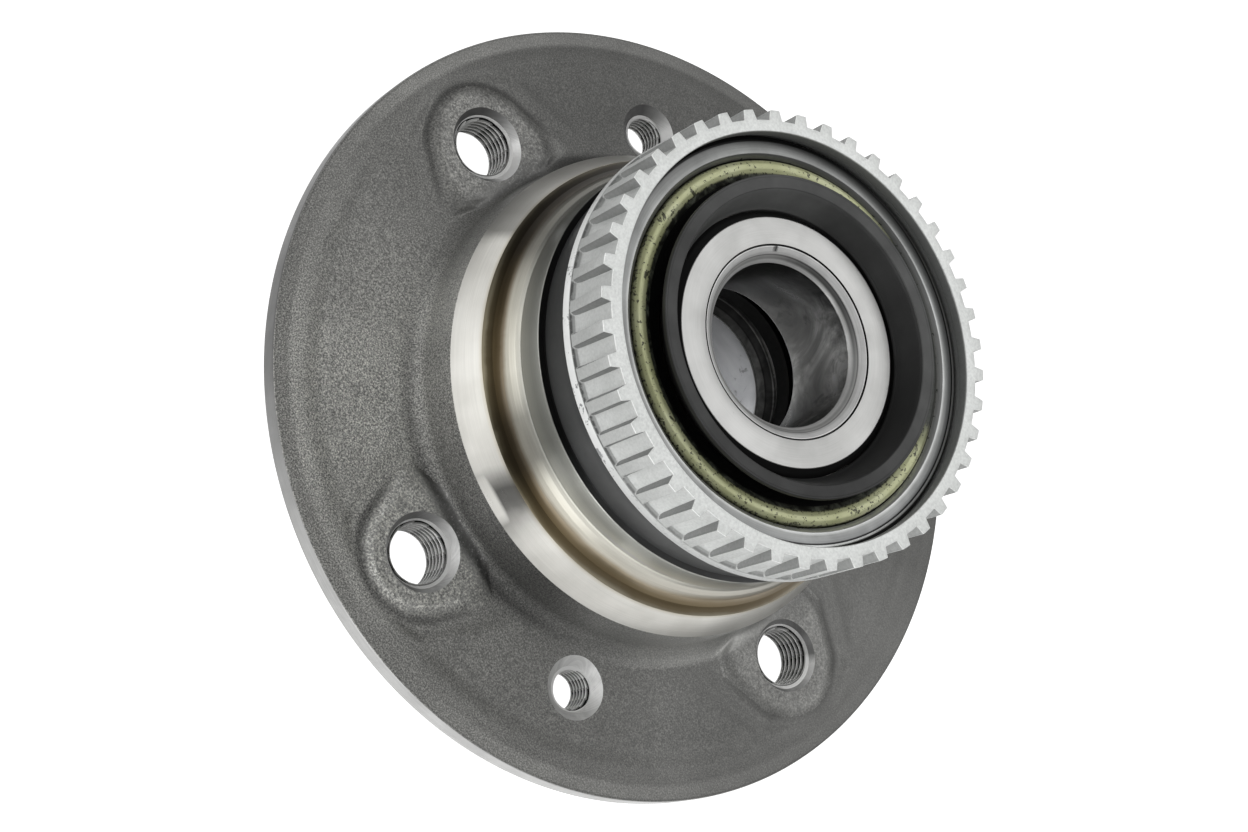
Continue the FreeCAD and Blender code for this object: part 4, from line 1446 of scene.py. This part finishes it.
def hub_zone(c, n):
    r = np.hypot(c[:, 0], c[:, 1])
    z = c[:, 2]
    zone = np.zeros(len(c), int)  # forged
    zone[(r > 66.3) & (z < 5.35)] = 4
    zone[(r > 71.2) & (z < 9.0)] = 4
    zone[(r > 30) & (r < 66.4) & (z < 0.2)] = 6
    zone[(r < 46) & (z > 19.28)] = 1
    zone[(r < 42) & (z > 25.0)] = 2
    zone[(r > 35.9) & (r < 42) & (z > 37.05)] = 3
    zone[(r < 36.0) & (z > 46.9)] = 5
    zone[(r < 32.1) & (z > -9.0) & (z < 55.2)] = 7
    near, hole = pad_fields(c[:, 0], c[:, 1])
    zone[(zone == 0) & (near < 0.75) & (hole < 14.5) & (z > 8.6) & (z < 10.5)] = 8
    zone[(r < 32.6) & (z < 0.1)] = 6
    zone[(r < 29.7) & (z > -9.6) & (z < 8.2)] = 6
    for deg, reach in [(d, 7.6) for d in BOLTS] + [(d, 6.2) for d in SCREWS]:
        t = math.radians(deg)
        d = np.hypot(
            c[:, 0] - BOLT_R * math.cos(t), c[:, 1] - BOLT_R * math.sin(t)
        )
        inside = (d < reach) & (z > 0.02) & (np.abs(n[:, 2]) < 0.93)
        zone[inside] = 9 + HOLES.index(deg)
    return zone


HUB_FINISH = [M_FORGED, M_SHOULDER, M_NECK, M_BAND, M_RIM, M_END,
              M_WHEEL_FACE, M_INSIDE, M_PAD] + M_HOLES
hub = lathe(
    "hub_forging",
    hub_section(),
    HUB_FINISH,
    None,
    angles=hub_angles(),
    lift=lift_face,
)
cut_verts, cut_faces = [], []
for deg in BOLTS:
    t = math.radians(deg)
    v, f = drum(
        BOLT_R * math.cos(t),
        BOLT_R * math.sin(t),
        [(6.3, -1.0), (6.0, 0.2), (6.0, 8.45), (6.95, 9.85), (7.7, 10.95)],
        96,
    )
    cut_faces += [tuple(i + len(cut_verts) for i in face) for face in f]
    cut_verts += v
for deg in SCREWS:
    t = math.radians(deg)
    v, f = drum(
        BOLT_R * math.cos(t),
        BOLT_R * math.sin(t),
        [(5.5, -1.0), (4.0, 0.5), (4.0, 6.85), (7.15, 10.0)],
        72,
    )
    cut_faces += [tuple(i + len(cut_verts) for i in face) for face in f]
    cut_verts += v
cutter = object_from(
    "hole_cutter", np.array(cut_verts) * MM, cut_faces, [M_FLANK]
)
boolean = hub.modifiers.new("holes", "BOOLEAN")
boolean.operation = "DIFFERENCE"
boolean.solver = "EXACT"
boolean.object = cutter
depsgraph = bpy.context.evaluated_depsgraph_get()
cut_mesh = bpy.data.meshes.new_from_object(hub.evaluated_get(depsgraph))
hub.modifiers.clear()
old = hub.data
hub.data = cut_mesh
bpy.data.meshes.remove(old)
bpy.data.objects.remove(cutter)
cut_mesh.materials.clear()
for material in HUB_FINISH:
    cut_mesh.materials.append(material)
finish_mesh(cut_mesh, hub_zone, 30.0)
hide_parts("hub_flange")
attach(hub, "hub")


# --------------------------------------------------------------- threads
def thread(name, deg, major, minor, pitch, low, high, segments):
    """Helical liner between the two chamfers of a tapped hole."""
    t0 = math.radians(deg)
    cx_, cy_ = BOLT_R * math.cos(t0), BOLT_R * math.sin(t0)
    step = pitch / 12.0
    heights = np.arange(low, high + 1e-6, step)
    if high - heights[-1] > 1e-4:
        heights = np.append(heights, high)
    angles = np.linspace(0, 2 * np.pi, segments, endpoint=False)
    z, t = np.meshgrid(heights, angles, indexing="ij")
    phase = ((z - low) / pitch - t / (2 * np.pi)) % 1.0
    tooth = np.interp(
        phase,
        [0.0, 0.10, 0.16, 0.42, 0.50, 0.62, 0.70, 0.94, 1.0],
        [0.0, 0.0, 0.06, 0.92, 1.0, 1.0, 0.92, 0.06, 0.0],
    )
    radius = minor + (major - minor) * tooth
    radius = np.maximum(radius, major - 2.2 * (high - z))
    radius = np.maximum(radius, major - 2.2 * (z - low))
    x = cx_ + radius * np.cos(t)
    y = cy_ + radius * np.sin(t)
    inner = np.stack([x, y, z], -1)
    back = major + 0.06
    ends = []
    for h in (high, low):
        ends.append(
            np.stack(
                [
                    cx_ + back * np.cos(angles),
                    cy_ + back * np.sin(angles),
                    np.full_like(angles, h),
                ],
                -1,
            )
        )
    grid = np.concatenate([inner, np.array(ends)], axis=0)
    rows = grid.shape[0]
    depth = major - minor

    def zones(c, n):
        d = np.hypot(c[:, 0] - cx_, c[:, 1] - cy_)
        # painted light and shade by facing: crests and up-facing flanks lit, the rest painted dark
        # as shade
        zone = np.full(len(c), 2)
        up = n[:, 2] > 0.2
        zone[up & (d < minor + 0.50 * depth)] = 1
        zone[d < minor + 0.20 * depth] = 0
        zone[c[:, 2] > high - 0.30] = 0
        return zone

    obj = object_from(
        name, grid.reshape(-1, 3) * MM, ring_faces(rows, segments),
        [M_THREADS[HOLES.index(deg)], M_FLANK, M_GROOVE], zones, 50.0,
    )
    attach(obj, "hub")
    return obj


for number, deg in enumerate(BOLTS, start=1):
    thread("bolt_thread_%d" % number, deg, 6.0, 5.15, 1.2, 0.2, 8.45, 96)
for number, deg in enumerate(SCREWS, start=1):
    thread("screw_thread_%d" % number, deg, 4.0, 3.35, 1.0, 0.5, 6.85, 80)


# ------------------------------------------------------------- tone ring
def tone_ring():
    teeth = 44
    pitch = 2 * math.pi / teeth
    root, tip = math.radians(2.121), math.radians(2.741)
    first = math.radians(-5.0) + pitch / 2
    angles, radii = [], []
    for k in range(teeth):
        centre = first + k * pitch
        for a in np.linspace(-root, root, 5):
            angles.append(centre + a)
            radii.append(37.0)
        for a in np.linspace(tip, pitch - tip, 6):
            angles.append(centre + a)
            radii.append(38.8)
    angles, radii = np.array(angles), np.array(radii)
    full = np.full_like(angles, 38.8)
    # the slots grow deeper from the rim to the front face
    depth = full - radii
    loops = [
        (np.full_like(angles, 35.58), 47.0),
        (full - 0.25, 47.0),
        (full, 47.25),
        (full, 49.3),
        (full - depth * 0.42, 49.75),
        (full - depth * 0.60, 50.6),
        (full - depth * 0.82, 54.8),
        (radii, 59.0),
        (np.full_like(angles, 35.12), 59.0),
        (np.full_like(angles, 35.0), 58.86),
        (np.full_like(angles, 35.0), 57.0),
        (np.full_like(angles, 35.58), 56.4),
    ]
    grid = np.array(
        [
            np.stack([r * np.cos(angles), r * np.sin(angles),
                      np.full_like(angles, z)], -1)
            for r, z in loops
        ]
    )
    mesh = bpy.data.meshes.new("tone_ring_teeth")
    mesh.from_pydata(
        [tuple(v) for v in grid.reshape(-1, 3) * MM], [],
        ring_faces(len(loops), len(angles)),
    )
    bm = bmesh.new()
    bm.from_mesh(mesh)
    bmesh.ops.remove_doubles(bm, verts=bm.verts, dist=1e-6)
    bmesh.ops.recalc_face_normals(bm, faces=bm.faces)
    # small edge breaks on every tooth
    sharp = [
        e for e in bm.edges
        if len(e.link_faces) == 2 and e.calc_face_angle() > math.radians(28)
    ]
    bmesh.ops.bevel(
        bm, geom=sharp, offset=0.14 * MM, segments=2, profile=0.6,
        affect="EDGES", clamp_overlap=True,
    )
    bm.to_mesh(mesh)
    bm.free()
    mesh.materials.append(M_TONE)
    mesh.materials.append(M_TONE_WALL)

    # the slot side walls take the shaded copy of the steel: painted shade
    def walls(c, n):
        r = np.hypot(c[:, 0], c[:, 1])
        across = (n[:, 1] * c[:, 0] - n[:, 0] * c[:, 1]) / r
        return (np.abs(across) > 0.75) & (r > 36.9) & (r < 38.72) & (c[:, 2] < 58.9)

    finish_mesh(mesh, walls, 38.0)
    obj = bpy.data.objects.new("tone_ring_teeth", mesh)
    bpy.context.collection.objects.link(obj)
    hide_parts("tone_ring")
    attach(obj, "hub")
    return obj


tone_ring()


# --------------------------------------------------------- seals and lips
def piece(name, node, body, section, materials, pick=None, turns=360,
          angle=32.0):
    obj = lathe(name, section, materials, pick, turns, angle=angle)
    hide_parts(node)
    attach(obj, body)
    return obj


piece(
    "inboard_seal_case_shell", "inboard_seal_case", "hub",
    divide(rounded([
        (30.45, 50.05, 0.1, 2),
        (31.25, 50.05, 0.1, 2),
        (31.25, 54.8, 0.5, 4),
        (31.0, 55.8, 0.6, 5),
        (30.4, 56.28, 0.9, 6),
        (29.5, 56.26, 1.2, 7),
        (27.7, 55.42, 0.4, 4),
        (27.65, 55.05, 0.12, 2),
        (30.45, 55.05, 0.2, 2),
    ]), 0.6),
    [M_CASE],
)
piece(
    "inboard_seal_rubber", "inboard_seal_lip", "hub",
    divide(rounded([
        (30.35, 51.85, 0.1, 2),
        (30.35, 54.95),
        (27.6, 54.95, 0.2, 3),
        (26.4, 54.0, 0.6, 4),
        (24.05, 52.7, 0.15, 3),
        (24.05, 52.1, 0.15, 3),
        (26.8, 51.65, 0.5, 4),
    ]), 1.2),
    [M_SEAL],
)
def lip_zone(c, n):
    r = np.hypot(c[:, 0], c[:, 1])
    zone = np.zeros(len(c), int)
    zone[(c[:, 2] > 59.05) & (r > 24.95)] = 1
    return zone


piece(
    "inboard_funnel_lip", "inboard_v_lip", "inner_race",
    divide(rounded([
        (22.92, 53.22),
        (23.88, 53.22, 0.3, 3),
        (27.36, 58.6, 0.3, 3),
        (27.38, 59.5, 0.25, 4),
        (27.05, 59.5, 0.12, 3),
        (26.85, 59.42, 0.2, 3),
        (25.05, 59.40, 0.25, 4),
        (24.75, 58.85, 0.5, 4),
        (23.45, 55.25, 0.25, 3),
        (23.20, 54.65, 0.15, 3),
        (22.92, 54.25),
    ]), 0.8),
    [M_LIP, M_LIP_EDGE],
    lip_zone,
)


# ------------------------------------------------------------ inner rings
def ring_zone(c, n):
    r = np.hypot(c[:, 0], c[:, 1])
    z = c[:, 2]
    d = np.minimum(np.abs(z - 55.1), np.abs(z - 8.9))
    zone = np.full(len(c), 2)
    zone[(d < 0.13) & (r > 15.2)] = 0
    # painted shade as a dark line in the small groove beside the lead-in, then the light lead-in
    # itself
    zone[(d < 0.55) & (r < 16.75)] = 3
    zone[(d < 2.4) & (r < 16.42)] = 4
    zone[(r < 17.0) & (d > 2.05)] = 1
    zone[(r < 14.15) & (d > 16.85)] = 7
    zone[(r > 14.15) & (r < 17.0) & (d > 17.4) & (d < 20.0)] = 6
    # painted shade: black in the recess under the funnel lip
    zone[(r > 21.45) & (d > 0.13) & (d < 3.0)] = 5
    return zone


def inner_ring(name, node, s):
    mid, end = 32.0, 32.0 + s * 23.1

    def at(d):
        return mid + s * d

    def back(d):
        return end - s * d

    groove = []
    a0 = math.acos((22.9 - 26.0) / 4.85)
    a1 = 2 * math.pi - math.acos((21.9 - 26.0) / 4.85)
    for k in range(15):
        t = a0 + (a1 - a0) * k / 14
        groove.append(
            (26.0 + 4.85 * math.cos(t), at(10.0 + 4.85 * math.sin(t)))
        )
    section = [
        (21.4, at(0.0), 0.2, 3),
        (16.8, at(0.0), 0.25, 3),
        (16.8, at(3.7), 0.3, 3),
        (14.03, at(5.45), 0.3, 3),
        (14.0, back(2.25), 0.5, 4),
        (14.35, back(1.75), 0.6, 5),
        (15.15, back(1.05), 0.5, 4),
        (15.6, back(0.55), 0.5, 4),
        (16.28, back(0.12), 0.2, 3),
        (16.44, back(0.12), 0.04, 2),
        (16.47, back(0.32), 0.03, 1),
        (16.66, back(0.32), 0.03, 1),
        (16.70, back(0.0), 0.05, 2),
        (21.35, back(0.0), 0.22, 4),
        (22.88, back(1.6), 0.35, 4),
    ]
    out = rounded(section) + groove
    return piece(
        name, node, "inner_race", divide(out, 3.0),
        [M_FACE, M_BORE, M_LAND, M_GROOVE, M_LEAD, M_RECESS_SHADE, M_SEAT, M_BREAK],
        ring_zone,
        360, 30.0,
    )


inner_ring("inner_ring_inboard_ground", "inner_ring_inboard", 1)
inner_ring("inner_ring_outboard_ground", "inner_ring_outboard", -1)

# ------------------------------------------------------------ kept nodes
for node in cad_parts:
    if node.startswith("ball_cage"):
        dress(node, M_CAGE)
    elif node.startswith("ball_"):
        dress(node, M_BALL)
dress("ring_clip", M_CLIP)
dress("inboard_slinger", M_SLINGER)
dress("outboard_slinger", M_SLINGER)
dress("outboard_seal_case", M_CASE)
dress("outboard_seal_lip", M_SEAL)

# ------------------------------------------------------------ the studio
floor_mesh = bpy.data.meshes.new("studio_floor")
SIDE = 6.0
floor_mesh.from_pydata(
    [(-SIDE, -SIDE, -0.0101), (SIDE, -SIDE, -0.0101),
     (SIDE, SIDE, -0.0101), (-SIDE, SIDE, -0.0101)],
    [],
    [(0, 1, 2, 3)],
)
floor = bpy.data.objects.new("studio_floor", floor_mesh)
bpy.context.collection.objects.link(floor)
fs = Shader("studio_floor")
fs.set(colour=(0.85, 0.85, 0.85), rough=0.9, metal=0.0, specular=0.1)
fs.bsdf.inputs["Emission Color"].default_value = (1.0, 1.0, 1.0, 1.0)
fs.bsdf.inputs["Emission Strength"].default_value = 0.82
floor_mesh.materials.append(fs.material)

world = bpy.data.worlds.new("studio")
bpy.context.scene.world = world
world.use_nodes = True
world.node_tree.nodes["Background"].inputs[0].default_value = (1, 1, 1, 1)
world.node_tree.nodes["Background"].inputs[1].default_value = 0.25


def softbox(name, direction, distance, size, power, tall=None):
    light = bpy.data.lights.new(name, "AREA")
    light.shape = "RECTANGLE"
    light.size = size
    light.size_y = tall or size
    light.energy = power
    lamp = bpy.data.objects.new(name, light)
    bpy.context.collection.objects.link(lamp)
    d = Vector(direction).normalized()
    lamp.location = d * distance
    lamp.rotation_euler = d.to_track_quat("Z", "Y").to_euler()
    return lamp


softbox("key_above", (-0.10, -0.50, 0.85), 0.9, 0.75, 2.6)
softbox("left_side", (0.62, 0.75, 0.22), 0.8, 0.6, 1.6)
softbox("lower_left", (-0.25, 0.95, 0.25), 0.8, 0.5, 1.6)

bpy.context.scene.view_settings.view_transform = "Standard"
bpy.context.scene.view_settings.look = "None"
